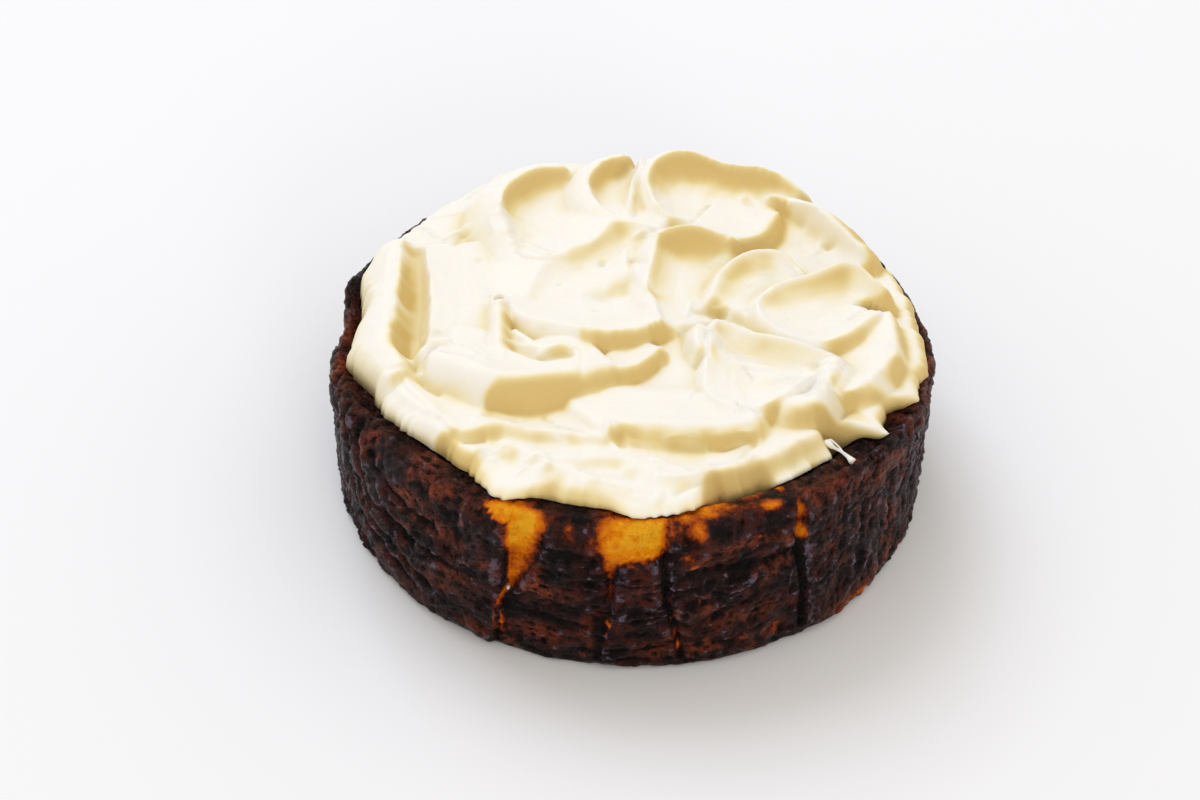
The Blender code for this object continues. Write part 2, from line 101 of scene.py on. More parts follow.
# Uncoated white paper: a dull cool white that scatters nearly all light
floor_material, tree = add_material("matt_white_paper")
shader = add_node(tree, "ShaderNodeBsdfPrincipled",
                  inputs={"Base Color": linear("#eff1f6"), "Roughness": 0.9, "Specular IOR Level": 0.17})
add_node(tree, "ShaderNodeOutputMaterial", inputs={"Surface": shader.outputs["BSDF"]})
floor_mesh.materials.append(floor_material)

ROOM_COLOUR = "#fff8ee"
ROOM_STRENGTH = 0.83
world = bpy.data.worlds.new("soft_room")
world.use_nodes = True
world.node_tree.nodes["Background"].inputs["Color"].default_value = linear(ROOM_COLOUR)
world.node_tree.nodes["Background"].inputs["Strength"].default_value = ROOM_STRENGTH
bpy.context.scene.world = world
bpy.context.scene.view_settings.view_transform = "Standard"


def add_light(name, place, aim, size, power, colour):
    """Square soft light that looks at a point."""
    data = bpy.data.lights.new(name, "AREA")
    data.shape = "SQUARE"
    data.size = size
    data.energy = power
    data.color = linear(colour)[:3]
    light = bpy.data.objects.new(name, data)
    light.location = place
    light.rotation_euler = (Vector(aim) - Vector(place)).to_track_quat("-Z", "Y").to_euler()
    bpy.context.scene.collection.objects.link(light)


add_light("window", place=(-1.9, 3.1, 4.6), aim=(0, 0, 0.05), size=3.4, power=138, colour="#e6efff")
add_light("reflector", place=(1.7, -5.0, 1.9), aim=(0, 0, 0.03), size=1.6, power=46, colour="#fff6ea")


# Baked cake: cream-cheese custard baked hot in a paper-lined tin until the outside burnt.
# The paper's pleats pressed creases and overlapping skins into the wall, the rim stands
# proud of the sunken top, and two cracks at the front show the pale custard inside.
# Lengths are millimetres and angles degrees anticlockwise from +X; the front faces -Y.
MM = 0.001
# Middle of the CAD's box, which the frame has at its origin
BOX_CENTRE = (-0.497, -0.430)
WALL_RADIUS = 101.4
FOOT_RADIUS = 2.6
BASIN_HEIGHT = 47.0
BASIN_RADIUS = 80.0
BASIN_START = 91.0
THIN_CREST_RADIUS = 98.2
SHOULDER_DROP = 4.2
UNDERSIDE_RINGS = (60.0, 92.0)
FOOT_STEPS = (0.0, 0.25, 0.5, 0.75)
INNER_RIM_STEPS = (0.06, 0.12, 0.18, 0.25, 0.32, 0.4, 0.48, 0.57, 0.66, 0.76, 0.88, 1.0)
BASIN_MIDDLE = 60.0
WALL_COLUMNS = 720
WALL_ROWS = 88
SHOULDER_ROWS = 10

# Height of the rim's top round the cake: angle, height
RIM = [
    (0, 53.5), (10, 51.5), (22, 50), (45, 50.5), (70, 49.5), (95, 50), (120, 50.5), (145, 51),
    (160, 53), (166, 57), (170, 52), (174, 48), (180, 49.5), (188, 52.5), (200, 56), (225, 58),
    (255, 59), (285, 59.5), (300, 60.5), (312, 62), (322, 61), (335, 58), (350, 55),
]

# Radius of the rim's crest round the cake: a broad shoulder at the front, thin rims elsewhere
CREST = [
    (0, 98.0), (150, 98.2), (165, 98.6), (175, 96.8), (186, 98.4), (200, 98.2), (214, 95.2), (250, 94.6),
    (290, 95.0), (301, 97.0), (318, 98.8), (345, 98.4),
]


def ease(value):
    """Smooth step from 0 to 1."""
    share = np.clip(value, 0.0, 1.0)
    return share * share * (3.0 - 2.0 * share)


def round_the_cake(angle, table):
    """Height or radius at an angle, eased between the table's entries."""
    turned = np.degrees(angle) % 360.0
    angles = np.array([entry[0] for entry in table] + [table[0][0] + 360.0])
    values = np.array([entry[1] for entry in table] + [table[0][1]])
    at = np.clip(np.searchsorted(angles, turned, side="right") - 1, 0, len(angles) - 2)
    share = ease((turned - angles[at]) / (angles[at + 1] - angles[at]))
    return values[at] + (values[at + 1] - values[at]) * share


def angle_gap(angle, centre):
    """Degrees from a direction, from -180 to 180."""
    return (np.degrees(angle) - centre + 180.0) % 360.0 - 180.0


def bell(angle, centre, width):
    """Bell curve round a direction, in degrees: 1 there, and nearly 0 two widths away."""
    return np.exp(-(angle_gap(angle, centre) / width) ** 2)


def smooth_way(points, steps=4):
    """Smooth line through a few points."""
    marks = np.asarray(points, float)
    marks = np.vstack([2 * marks[0] - marks[1], marks, 2 * marks[-1] - marks[-2]])
    share = np.linspace(0.0, 1.0, steps, endpoint=False)[:, None]
    spans = []
    for before, start, end, after in zip(marks[:-3], marks[1:-2], marks[2:-1], marks[3:]):
        cubic = 3 * start - before - 3 * end + after
        square = 2 * before - 5 * start + 4 * end - after
        spans.append(0.5 * (2 * start + (end - before) * share + square * share ** 2 + cubic * share ** 3))
    spans.append(marks[-2][None])
    return np.vstack(spans)


def beside(way, x, y):
    """Value of the way at its nearest part, length past an end, distance to the left."""
    last = len(way) - 2
    best = np.full(x.shape, 1e9)
    past = np.zeros_like(x)
    left = np.zeros_like(x)
    spans = []
    for i in range(last + 1):
        start = way[i]
        end = way[i + 1]
        length = np.hypot(end[0] - start[0], end[1] - start[1]) + 1e-9
        ahead = ((end[0] - start[0]) / length, (end[1] - start[1]) / length)
        along = (x - start[0]) * ahead[0] + (y - start[1]) * ahead[1]
        across = (y - start[1]) * ahead[0] - (x - start[0]) * ahead[1]
        held = np.clip(along, 0.0, length)
        over = along - held
        away = np.hypot(over, across)
        spans.append((away, start[2] + (end[2] - start[2]) * held / length))
        if i > 0:
            over = np.maximum(over, 0.0)
        if i < last:
            over = np.minimum(over, 0.0)
        nearer = away < best - 1e-9
        best[nearer] = away[nearer]
        past[nearer] = np.abs(over)[nearer]
        sideways = np.sqrt(np.maximum(away ** 2 - over ** 2, 0.0)) * np.where(across >= 0, 1, -1)
        left[nearer] = sideways[nearer]
    # The value passes softly from one part of the way to the next
    soft = 1.6
    value = np.zeros_like(x)
    total = np.zeros_like(x)
    for away, level in spans:
        weight = np.exp((best - away) / soft)
        value += weight * level
        total += weight
    return value / total, past, left


def lower_of(one, other, blend):
    """Smaller of two heights, with a rounded crease."""
    near = np.maximum(blend - np.abs(one - other), 0.0) / blend
    return np.minimum(one, other) - near * near * blend / 4


def higher_of(one, other, blend):
    """Larger of two heights, with a rounded crease."""
    return -lower_of(-one, -other, blend)


def lattice_noise(across, up, period, seed):
    """Smooth random values from -1 to 1 on unit cells, closing after a whole period across."""
    rows = 256
    table = np.random.default_rng(seed).uniform(-1, 1, (period, rows))
    column = np.floor(across).astype(int)
    row = np.floor(up).astype(int)
    share = ease(across - column)
    climb = ease(up - row)
    here = column % period
    following = (column + 1) % period
    near = table[here, row % rows] * (1 - share) + table[following, row % rows] * share
    far = table[here, (row + 1) % rows] * (1 - share) + table[following, (row + 1) % rows] * share
    return near * (1 - climb) + far * climb


def ring_noise(turn, period, seed):
    """Smooth random values from -1 to 1 round the cake, in so many cells to the whole turn."""
    return lattice_noise(turn * period, np.zeros_like(turn), period, seed)


def plane_noise(x, y, size, seed):
    """Smooth random values from -1 to 1 over a plane, in cells of a size."""
    return lattice_noise(x / size + 128.0, y / size + 128.0, 256, seed)


# Fine streaks that the spatula leaves beside a crest, and how far a sweep reaches sideways
STREAK_DEPTH = 0.10
SWEEP_REACH = 32.0


class Surface:
    """Heights over places in a plane, shaped by one stroke after another."""

    def __init__(self, x, y, height):
        self.x = x
        self.y = y
        self.height = height

    def close_to(self, way, reach):
        """Places within reach of the way."""
        low = way[:, :2].min(0) - reach
        high = way[:, :2].max(0) + reach
        inside_x = (self.x > low[0]) & (self.x < high[0])
        return inside_x & (self.y > low[1]) & (self.y < high[1])

    def sweep(self, points, wall, floor, back, fall, rounding=1.5, reach=16.0, end=5.0):
        """A spatula's crest: left of it a wall curves to the floor, right of it a face falls."""
        way = smooth_way(points)
        near = self.close_to(way, SWEEP_REACH)
        top, past, left = beside(way, self.x[near], self.y[near])
        inside = np.maximum(left, 0.0)
        drop = (top - floor) * (1.0 - np.exp(-inside / wall))
        fibre = plane_noise(inside * 9.0, self.x[near] * 0.8 + self.y[near] * 0.6, 8.0, 71)
        drop += STREAK_DEPTH * fibre * ease((inside - 0.8) / 2.0)
        fade = 0.06 * np.maximum(inside - reach, 0.0) ** 2
        outside = fall * (np.maximum(-left, 0.0) / back) ** rounding
        crest = top - drop - fade - outside - 6.0 * (past / end) ** 2
        self.height[near] = higher_of(self.height[near], crest, 1.0)

    def roll(self, points, width, fall):
        """A rounded roll of cream along the way."""
        way = smooth_way(points)
        near = self.close_to(way, 2.2 * width)
        top, past, left = beside(way, self.x[near], self.y[near])
        rounded = top - fall * (past ** 2 + left ** 2) / width ** 2
        self.height[near] = higher_of(self.height[near], rounded, 0.9)

    def scoop(self, points, left_width, right_width, rise, end):
        """A trough cut along the way."""
        way = smooth_way(points)
        near = self.close_to(way, 2.2 * max(left_width, right_width, end))
        bottom, past, left = beside(way, self.x[near], self.y[near])
        width = np.where(left > 0, left_width, right_width)
        trough = bottom + rise * ((past / end) ** 2 + (left / width) ** 2)
        self.height[near] = lower_of(self.height[near], trough, 0.7)

    def press(self, points, width, depth):
        """A soft groove pressed along the way, or a ridge for a negative depth."""
        way = smooth_way([(x, y, 0.0) for x, y in points])
        near = self.close_to(way, 3.0 * width)
        unused, past, left = beside(way, self.x[near], self.y[near])
        self.height[near] -= depth * np.exp(-(past ** 2 + left ** 2) / width ** 2)

    def flap(self, points, proud, fade):
        """A layer that ends along the way: the part left of it stands proud."""
        way = smooth_way([(x, y, 0.0) for x, y in points])
        near = self.close_to(way, 3.0 * fade)
        unused, past, left = beside(way, self.x[near], self.y[near])
        step = ease((left + 0.5) / 1.0) * np.exp(-np.maximum(left, 0.0) / fade)
        self.height[near] += proud * step * np.exp(-(past / 3.0) ** 2)


# Dip just inside the rim's crest, and where it is deeper: angle, width, size
RIM_DIP = 0.8
DIPS = [(318, 16, 3.0), (185, 26, 2.4), (60, 70, 1.0)]


def crust_top(x, y):
    """Height of the crust's upper side: rim, the dip inside it and the flat basin."""
    radius = np.hypot(x, y)
    angle = np.arctan2(y, x)
    rim = round_the_cake(angle, RIM)
    dip = RIM_DIP
    for centre, width, size in DIPS:
        dip = dip + size * bell(angle, centre, width)
    ledge = rim - dip * ease((round_the_cake(angle, CREST) - radius) / SHOULDER_DROP)
    inward = ease((BASIN_START - radius) / (BASIN_START - BASIN_RADIUS))
    return ledge + (BASIN_HEIGHT - ledge) * inward


# Pale cracks: heights, then where each crack starts and ends at those heights
CRACK_LEFT = ([7, 13, 20, 25, 30, 35, 40, 48, 55.5, 58, 61, 65],
              [245, 245.1, 245.3, 246.2, 247.5, 247.6, 247.6, 247.7, 247.4, 242, 243.2, 245],
              [245.6, 245.9, 246.4, 247.8, 250, 251.4, 252.8, 254.7, 255.6, 255.7, 255.4, 253.5])
CRACK_RIGHT = ([26, 33, 37, 42, 46, 49.2, 50.6, 55, 58, 62, 67],
               [265.2, 265.9, 265.7, 265, 264.2, 263.8, 263.6, 263.1, 262.7, 262.9, 264.3],
               [265.9, 266.9, 267.2, 267.6, 268.4, 271, 276.4, 276.5, 276.5, 276.7, 277.3])
CRACK_DEPTH = 1.5

# Curved folds that sweep down from the left rim: width, depth, way
FOLDS = [
    (1.8, 1.1, [(209.9, 56.2), (214.4, 49.6), (220.1, 45.2), (225.7, 40.3), (231.9, 38.8)]),
    (2.2, 2.0, [(206.5, 56.7), (209.3, 47.9), (212.8, 36.3), (218.6, 28.9), (225.2, 25.3)]),
    # The deepest runs on under the wide skin
    (1.9, 1.8, [(219, 32), (228.6, 28), (236.9, 28.3), (241.2, 30.5)]),
    (1.5, 1.1, [(203.5, 53), (205.5, 42), (209.5, 30), (215.5, 21), (222, 17.5), (231, 14)]),
    (1.8, 1.5, [(199.9, 50.4), (201.8, 36.9), (206.5, 24.9), (212.6, 15.9), (219.6, 12.1), (228.1, 8.4)]),
    (1.4, 1.1, [(197.5, 46), (198.2, 28), (202.5, 15), (208.5, 7), (214, 3)]),
    (1.6, 1.3, [(194, 42), (194.8, 19.1), (200.3, 6), (206, 1.5)]),
    (1.5, 1.2, [(188, 49), (189, 25), (193, 8)]),
    (1.6, 1.0, [(181, 47), (183, 22), (187, 6)]),
]
FOLD_DEPTH = 1.4
# Fold that pulls the left edge in
PULLED_IN = 2.2

# Upright pleats round the right side and the back: angle, lean, depth
PLEATS = [
    (311, 1, 0.5), (318, -1, 0.6), (325, 2, 0.9), (333, 1, 0.8), (339, -1, 0.7), (345, -2, 1.3),
    (352, 1, 0.9), (8, 3, 1.2), (27, -3, 1.5), (48, 2, 1.1), (71, -2, 1.6), (94, 3, 1.1), (116, -3, 1.4),
    (136, 2, 1.5), (153, -2, 1.0),
]


def wall_relief(angle, height):
    """Outward relief of the burnt wall: pleats of the baking paper, overlapping skins, cracks."""
    turned = np.degrees(angle) % 360.0
    along = np.radians(turned) * WALL_RADIUS
    wall = Surface(along, height, np.zeros_like(along))

    def at(points):
        """Places on the unrolled wall, from angles and heights."""
        return [(np.radians(turn) * WALL_RADIUS, level) for turn, level in points]

    # Wide skin at the left of the front, with a straight right edge and a stepped lower edge
    wall.flap(at([(245, 4), (246.5, 22), (247.2, 40), (247.3, 56), (243, 54), (238, 50)]),
              proud=2.3, fade=26.0)
    wall.flap(at([(203, 40), (212, 35), (224, 29), (235, 28), (246, 31)]), proud=1.7, fade=11.0)
    wall.press(at([(209, 55), (216, 52), (221, 56)]), width=3.2, depth=1.4)
    wall.press(at([(229, 56), (236, 50), (238, 43)]), width=3.0, depth=1.3)
    # Middle skins beside the two pale cracks
    wall.flap(at([(255.5, 66), (256, 58), (254, 50), (251, 40), (249, 28)]), proud=1.3, fade=13.0)
    wall.press(at([(256, 48), (263, 46)]), width=3.4, depth=1.9)
    wall.flap(at([(265, 17), (256, 19), (247, 20)]), proud=1.2, fade=9.0)
    wall.flap(at([(276, 49), (271, 50), (268, 47), (267, 30), (265.5, 12), (265, 4)]), proud=1.5, fade=16.0)
    wall.press(at([(275.5, 50), (276.5, 30), (278, 20), (279.5, 5)]), width=1.1, depth=2.0)
    # Skin at the right of the front and the deep seam that ends it
    wall.press(at([(280, 42), (290, 41), (300, 40)]), width=2.8, depth=1.9)
    wall.press(at([(284, 54), (279, 43)]), width=2.0, depth=-1.3)
    wall.press(at([(298, 52), (290, 33), (283, 25)]), width=2.4, depth=-1.2)
    wall.press(at([(302, 64), (300.7, 50), (301.5, 34), (303, 20), (303, 6)]), width=0.8, depth=2.4)
    wall.flap(at([(302, 66), (301.5, 50), (302.5, 34), (304, 20), (304, 6)]), proud=1.4, fade=18.0)
    for width, depth, way in FOLDS:
        wall.press(at(way), width, FOLD_DEPTH * depth)
    for start, lean, depth in PLEATS:
        wall.press(at([(start, 49), (start + lean, 27), (start, 5)]), 1.5, depth)
        wall.press(at([(start + 5, 44), (start + 10, 30), (start + 15, 27)]), width=3.2, depth=0.6)
    # The pale cracks lie deeper than the skins
    recess = np.zeros_like(along)
    for levels, starts, ends in (CRACK_LEFT, CRACK_RIGHT):
        start = np.interp(height, levels, starts)
        end = np.interp(height, levels, ends)
        inside = ease((turned - start) / 0.8) * ease((end - turned) / 0.8)
        recess = recess + inside * ease((height - levels[0]) / 5.0)
    # A shallow waviness all round, whole waves so that it closes
    wave = 0.5 * np.sin(5 * angle + 0.05 * height) + 0.35 * np.sin(13 * angle - 0.09 * height)
    # The right side is a little flatter, and a fold pulls the left edge in
    wave = wave - 1.5 * bell(angle, 2.0, 24.0)
    pulled = bell(angle, 175.0, 5.0) * ease((height - 25.0) / 22.0)
    return wall.height - CRACK_DEPTH * recess + wave - PULLED_IN * pulled


def creased(noise):
    """Raised lines where smooth noise passes zero, with hollows between them."""
    return 1.0 - 2.6 * np.abs(noise)


def wrinkles(angle, height):
    """Fine relief of the dried skin: pits and blisters, then wrinkles that run with the folds."""
    turn = (angle / (2 * np.pi)) % 1.0
    around = 2 * np.pi * WALL_RADIUS * turn
    shift = 1.6 * lattice_noise(turn * 70, height / 9.0 + 20.0, 70, 3)
    lift = 3.0 * lattice_noise(turn * 60, height / 10.0 + 40.0, 60, 4)
    total = np.zeros_like(height)
    for period, tall, size, seed in ((72, 8.0, 0.32, 5), (150, 3.6, 0.30, 8), (280, 2.1, 0.30, 9)):
        across = (turn + shift / (2 * np.pi * WALL_RADIUS)) * period
        ridge = lattice_noise(across, (height + lift) / tall + 30.0, period, seed)
        total += size * creased(ridge)
    # Upright wrinkles at the right, level ones at the front, slanting ones at the left
    upright = lattice_noise((around + shift) / 2.6, height / 11.0 + 50.0, 256, 12)
    total += 0.55 * creased(upright) * bell(angle, 330.0, 24.0)
    level = lattice_noise(around / 10.0, (height + 0.5 * lift) / 2.3 + 60.0, 256, 13)
    total += 0.45 * creased(level) * bell(angle, 270.0, 30.0)
    downhill = 0.77 * around + 0.64 * height + shift
    slanting = lattice_noise(downhill / 2.9, (0.64 * around - 0.77 * height) / 13.0, 256, 14)
    total += 0.6 * creased(slanting) * bell(angle, 205.0, 28.0)
    return total


def spots(angle, level, places):
    """Soft patches: angle, height, half width in degrees, half height, strength."""
    total = np.zeros_like(level)
    for centre, middle, wide, tall, strength in places:
        away = (angle_gap(angle, centre) / wide) ** 2 + ((level - middle) / tall) ** 2
        total = np.maximum(total, strength * np.exp(-away))
    return total


# Reddish brown, least burnt patches of the skin: angle, height, half width, half height, strength
EMBER_SPOTS = [
    (227, 63.3, 3.6, 3, 1), (214, 56.5, 2.4, 4, 0.9), (211, 50, 2, 6, 0.8), (234.6, 57, 5, 4, 1),
    (232.6, 40, 4, 3.5, 1), (230, 58.2, 4, 3, 0.8), (237, 25.7, 4, 2.6, 0.9), (241, 7, 3, 3, 0.7),
    (234.5, 19, 4, 3, 0.6), (226, 47, 5, 3, 0.7), (254.7, 30.5, 3.6, 2.6, 1), (253.9, 13, 4.5, 3.4, 0.8),
    (275, 9, 3, 3.5, 0.6), (281.6, 46.5, 2.2, 2.6, 1), (290.5, 51.2, 6, 2.2, 1), (290, 20, 7, 4, 0.6),
    (297.1, 10.4, 1.8, 3.5, 0.9), (304, 61, 2.5, 4, 0.8), (309, 60.5, 3, 3.5, 0.9), (316, 56, 4, 4, 0.7),
    (322, 52, 5, 4, 0.7), (304, 71, 2.5, 6, 1), (316, 5, 8, 4, 0.9), (205, 66, 9, 5, 1),
    (190, 56, 10, 4, 1), (176, 52, 6, 5, 1), (350, 56, 9, 5, 1), (10, 50, 10, 5, 1), (340, 62, 6, 4, 0.8),
    (266, 54, 3, 6, 0.8), (258, 57, 2, 4, 0.6),
]
# Glossy black: the deepest burnt places, and painted shade in recesses, grooves and under the cream's edge
CHAR_AND_SHADE_SPOTS = [
    (258.5, 47, 4, 2.4, 1), (290, 41, 10, 2.6, 1), (256, 18.8, 8, 1.5, 1), (222, 30, 14, 2.2, 0.9),
    (230, 28, 9, 1.3, 1), (230, 76, 12, 5, 1), (292, 75, 6, 4, 1), (259, 60, 2.4, 8, 1),
    (279, 54, 1.6, 7, 1), (203, 33, 3, 6, 0.9), (302, 34, 1.2, 9, 1), (242, 52, 5, 3, 0.7),
    (222, 66, 2.5, 3, 0.8), (250, 70, 8, 2.5, 0.9), (243, 33, 5, 3, 0.6), (318, 72, 8, 5, 0.9),
    (287, 76, 4, 3, 0.8), (335, 51, 2, 4, 0.8), (276.4, 36, 0.6, 12, 1), (271, 70, 8, 2, 0.9),
    (264.6, 8, 0.8, 9, 1), (245, 4, 1, 5, 0.7), (268, 42, 1.6, 5, 0.5), (329, 66, 3, 3, 0.7),
]
# Custard that shows amber through thin skin
AMBER_SPOTS = [
    (280.3, 64.6, 3.4, 3.8, 0.88), (283.5, 65.6, 4, 4.4, 0.95), (287.4, 68, 3.8, 4, 0.9),
    (290, 71.2, 2.4, 3.4, 0.8), (281.8, 59.5, 2.6, 5, 0.82), (296.3, 62.8, 2.4, 2.8, 0.8),
    (300.6, 69.5, 1.1, 6, 0.95), (300.9, 58, 0.9, 7, 0.8), (301.2, 49, 0.9, 4.8, 0.9),
    (317, 3.4, 7, 2.2, 0.62), (266.3, 20.8, 0.6, 1.8, 0.7), (266.1, 16.6, 0.5, 1.2, 0.65),
    (277.7, 22, 0.35, 3, 0.6), (278.3, 15.5, 0.35, 3.5, 0.66), (279.1, 9, 0.4, 3.5, 0.66),
    (281, 46, 1.2, 1.4, 0.62), (283.2, 47.9, 1.3, 1.2, 0.56), (292.6, 52.4, 1.6, 1.2, 0.52),
    (239, 50.5, 1, 2, 0.5), (243.4, 60, 2.6, 2.6, 0.64), (305, 72, 1.2, 4, 0.5), (258.6, 56, 1.6, 6, 0.5),
    (265.5, 66, 2, 3, 0.55), (190, 55, 4, 2.6, 0.5), (178, 50, 3, 3, 0.5), (246.6, 15, 0.5, 8, 0.62),
    (297.5, 10, 1.2, 3, 0.5), (264.2, 67.5, 3.2, 2.4, 0.6), (277, 62, 1.8, 4.5, 0.5),
    (279.5, 50, 2.2, 3, 0.48), (270.8, 62, 1.5, 6, 0.44), (293.5, 68.5, 4, 2.6, 0.56),
]


def custard_show(angle, level):
    """How much pale custard shows: most inside the open cracks, less through thin skin."""
    turned = np.degrees(angle) % 360.0
    show = np.zeros_like(level)
    for (levels, starts, ends), start_soft, end_soft in ((CRACK_LEFT, 0.4, 4.4), (CRACK_RIGHT, 3.0, 1.8)):
        start = np.interp(level, levels, starts)
        end = np.interp(level, levels, ends)
        start_soft = np.minimum(start_soft, 0.2 + 0.6 * (end - start))
        end_soft = np.minimum(end_soft, 0.2 + 0.6 * (end - start))
        inside = ease((turned - start + 0.4 * start_soft) / (1.4 * start_soft))
        inside = inside * ease((end - turned + 0.4 * end_soft) / (1.4 * end_soft))
        upper = ease((levels[-1] + 3.0 - level) / 8.0)
        lower = 0.62 + 0.38 * ease((level - 38.0) / 16.0)
        show = np.maximum(show, inside * upper * lower * ease((level - levels[0] + 1.0) / 5.0))
    return np.clip(np.maximum(show, spots(angle, level, AMBER_SPOTS)), 0.0, 1.0)


def make_cake():
    """Points and faces of the whole cake, and the relief of each row for the masks."""
    angle = np.linspace(0.0, 2.0 * np.pi, WALL_COLUMNS, endpoint=False)
    turn = angle / (2 * np.pi)
    crest = round_the_cake(angle, CREST)
    drop = SHOULDER_DROP + 1.2 * (THIN_CREST_RADIUS - crest)
    ragged = 0.5 * ring_noise(turn, 90, 31) + 0.4 * ring_noise(turn, 240, 33)
    torn = bell(angle, 315.0, 12.0)
    rim = round_the_cake(angle, RIM) + ragged * (0.6 + 2.2 * torn)
    # Rows of radius, height and relief, from the underside round to the middle of the top
    rows = []
    flat = np.zeros_like(angle)
    for radius in UNDERSIDE_RINGS:
        rows.append((np.full_like(angle, radius), flat, flat))
    # Rounded foot
    for share in FOOT_STEPS:
        bend = share * np.pi / 2
        radius = WALL_RADIUS - FOOT_RADIUS * (1.0 - np.sin(bend))
        level = np.full_like(angle, FOOT_RADIUS * (1.0 - np.cos(bend)))
        relief = wall_relief(angle, level + 1.0) + wrinkles(angle, level)
        rows.append((radius + relief * share, level, relief))
    # Wall
    for i in range(WALL_ROWS + 1):
        level = FOOT_RADIUS + (rim - drop - FOOT_RADIUS) * i / WALL_ROWS
        relief = wall_relief(angle, level) + wrinkles(angle, level)
        rows.append((WALL_RADIUS + relief, level, relief))
    # Shoulder, from the wall's top edge to the crest
    edge_relief = wall_relief(angle, rim - drop)
    for i in range(1, SHOULDER_ROWS + 1):
        bend = i / SHOULDER_ROWS * np.pi / 2
        rough = wrinkles(angle, rim - drop + 9.0 * i / SHOULDER_ROWS)
        radius = crest + (WALL_RADIUS - crest + edge_relief + rough) * np.cos(bend)
        level = rim - drop * (1.0 - np.sin(bend)) + 0.8 * rough * np.sin(bend)
        rows.append((radius, level, edge_relief * (1.0 - i / SHOULDER_ROWS) + rough))
    # Inner side of the rim, down to the basin
    for share in INNER_RIM_STEPS:
        ring = crest + (BASIN_RADIUS - crest) * share
        rough = wrinkles(angle, rim + 5.0 + (crest - ring)) * ease((ring - 82.0) / 5.0)
        top = crust_top(ring * np.cos(angle), ring * np.sin(angle))
        rows.append((ring, top + 0.8 * np.minimum(rough, 0.4) - 0.15, rough))
    rows.append((np.full_like(angle, BASIN_MIDDLE), np.full_like(angle, BASIN_HEIGHT), flat))
    points = [[0.0, 0.0, 0.0]]
    for radius, level, relief in rows:
        points.extend(np.stack([radius * np.cos(angle), radius * np.sin(angle), level], axis=1))
    points.append([0.0, 0.0, BASIN_HEIGHT])
    points = np.array(points)
    last = len(points) - 1
    faces = []
    for column in range(WALL_COLUMNS):
        following = (column + 1) % WALL_COLUMNS
        faces.append((0, 1 + following, 1 + column))
        for row in range(len(rows) - 1):
            low = 1 + row * WALL_COLUMNS
            high = low + WALL_COLUMNS
            faces.append((low + column, low + following, high + following, high + column))
        high = 1 + (len(rows) - 1) * WALL_COLUMNS
        faces.append((high + column, high + following, last))
    return points, faces, np.stack([relief for radius, level, relief in rows])


def add_object(name, points, faces):
    """Smooth mesh object from millimetre points, centred as the CAD is."""
    mesh = bpy.data.meshes.new(name)
    mesh.from_pydata(((points - (BOX_CENTRE[0], BOX_CENTRE[1], 0.0)) * MM).tolist(), [], faces)
    mesh.shade_smooth()
    thing = bpy.data.objects.new(name, mesh)
    bpy.context.scene.collection.objects.link(thing)
    return thing


def add_mask(thing, name, values):
    """Number from 0 to 1 on each point, for the material."""
    mask = thing.data.attributes.new(name, "FLOAT", "POINT")
    mask.data.foreach_set("value", np.clip(values, 0.0, 1.0).astype(np.float32))


def smoothed(grid, rounds):
    """Grid of rows round the cake, blurred a little in each round."""
    for step in range(rounds):
        ends = np.vstack([grid[:1], grid, grid[-1:]])
        grid = 0.2 * (grid + ends[:-2] + ends[2:] + np.roll(grid, 1, 1) + np.roll(grid, -1, 1))
    return grid


cake_points, cake_faces, cake_relief = make_cake()
cake = add_object("baked_cake", cake_points, cake_faces)
cake_angle = np.arctan2(cake_points[:, 1], cake_points[:, 0])
cake_radius = np.hypot(cake_points[:, 0], cake_points[:, 1])
# On the rim's top the masks are read as if the wall ran on upward
SIGHT_RISE = 0.87
cake_level = cake_points[:, 2] + SIGHT_RISE * np.clip(WALL_RADIUS - 1.5 - cake_radius, 0.0, 30.0)
turn_share = (cake_angle / (2 * np.pi)) % 1.0
blotch = 0.5 + 0.5 * lattice_noise(turn_share * 70, cake_level / 9.0 + 30.0, 70, 41)
blotch = blotch * (0.6 + 0.4 * lattice_noise(turn_share * 260, cake_level / 2.6 + 30.0, 260, 43))
# Painted shade: the creases lose their red-brown and turn black, and what stands proud gets a painted sheen
proud = np.pad((cake_relief - smoothed(cake_relief, 14)).ravel(), 1)
sunk = np.pad((smoothed(cake_relief, 40) - cake_relief).ravel(), 1)
ember = spots(cake_angle, cake_level, EMBER_SPOTS) * (0.7 + 0.5 * blotch) + 0.7 * ease((blotch - 0.4) / 0.4)
# Round each patch of custard the skin is caramelised to an orange brown
custard = custard_show(cake_angle, cake_level)
glow = smoothed(custard[1:-1].reshape(-1, WALL_COLUMNS), 60)
# Painted sheen, strongest at the right and the left of the front
painted_sheen = 0.2 + 0.65 * bell(cake_angle, 328.0, 22.0)
painted_sheen = painted_sheen + 0.12 * bell(cake_angle, 228.0, 12.0)
painted_sheen = painted_sheen + 0.3 * np.exp(-(angle_gap(cake_angle, 286.0) / 7.0) ** 2 - ((cake_level - 33.0) / 8.0) ** 2)
add_mask(cake, "custard", np.maximum(custard, 0.8 * np.pad(glow.ravel(), 1)))
# Painted shade: the red-brown fades out of the creases
add_mask(cake, "ember", ember * (1.0 - 0.8 * ease(sunk / 0.9)))
# Char spots and painted shade in the creases, in one mask
add_mask(cake, "char_and_shade", np.maximum(spots(cake_angle, cake_level, CHAR_AND_SHADE_SPOTS), ease((sunk - 0.4) / 0.8)))
add_mask(cake, "proud", 0.5 + 0.9 * proud)
add_mask(cake, "painted_sheen", painted_sheen)
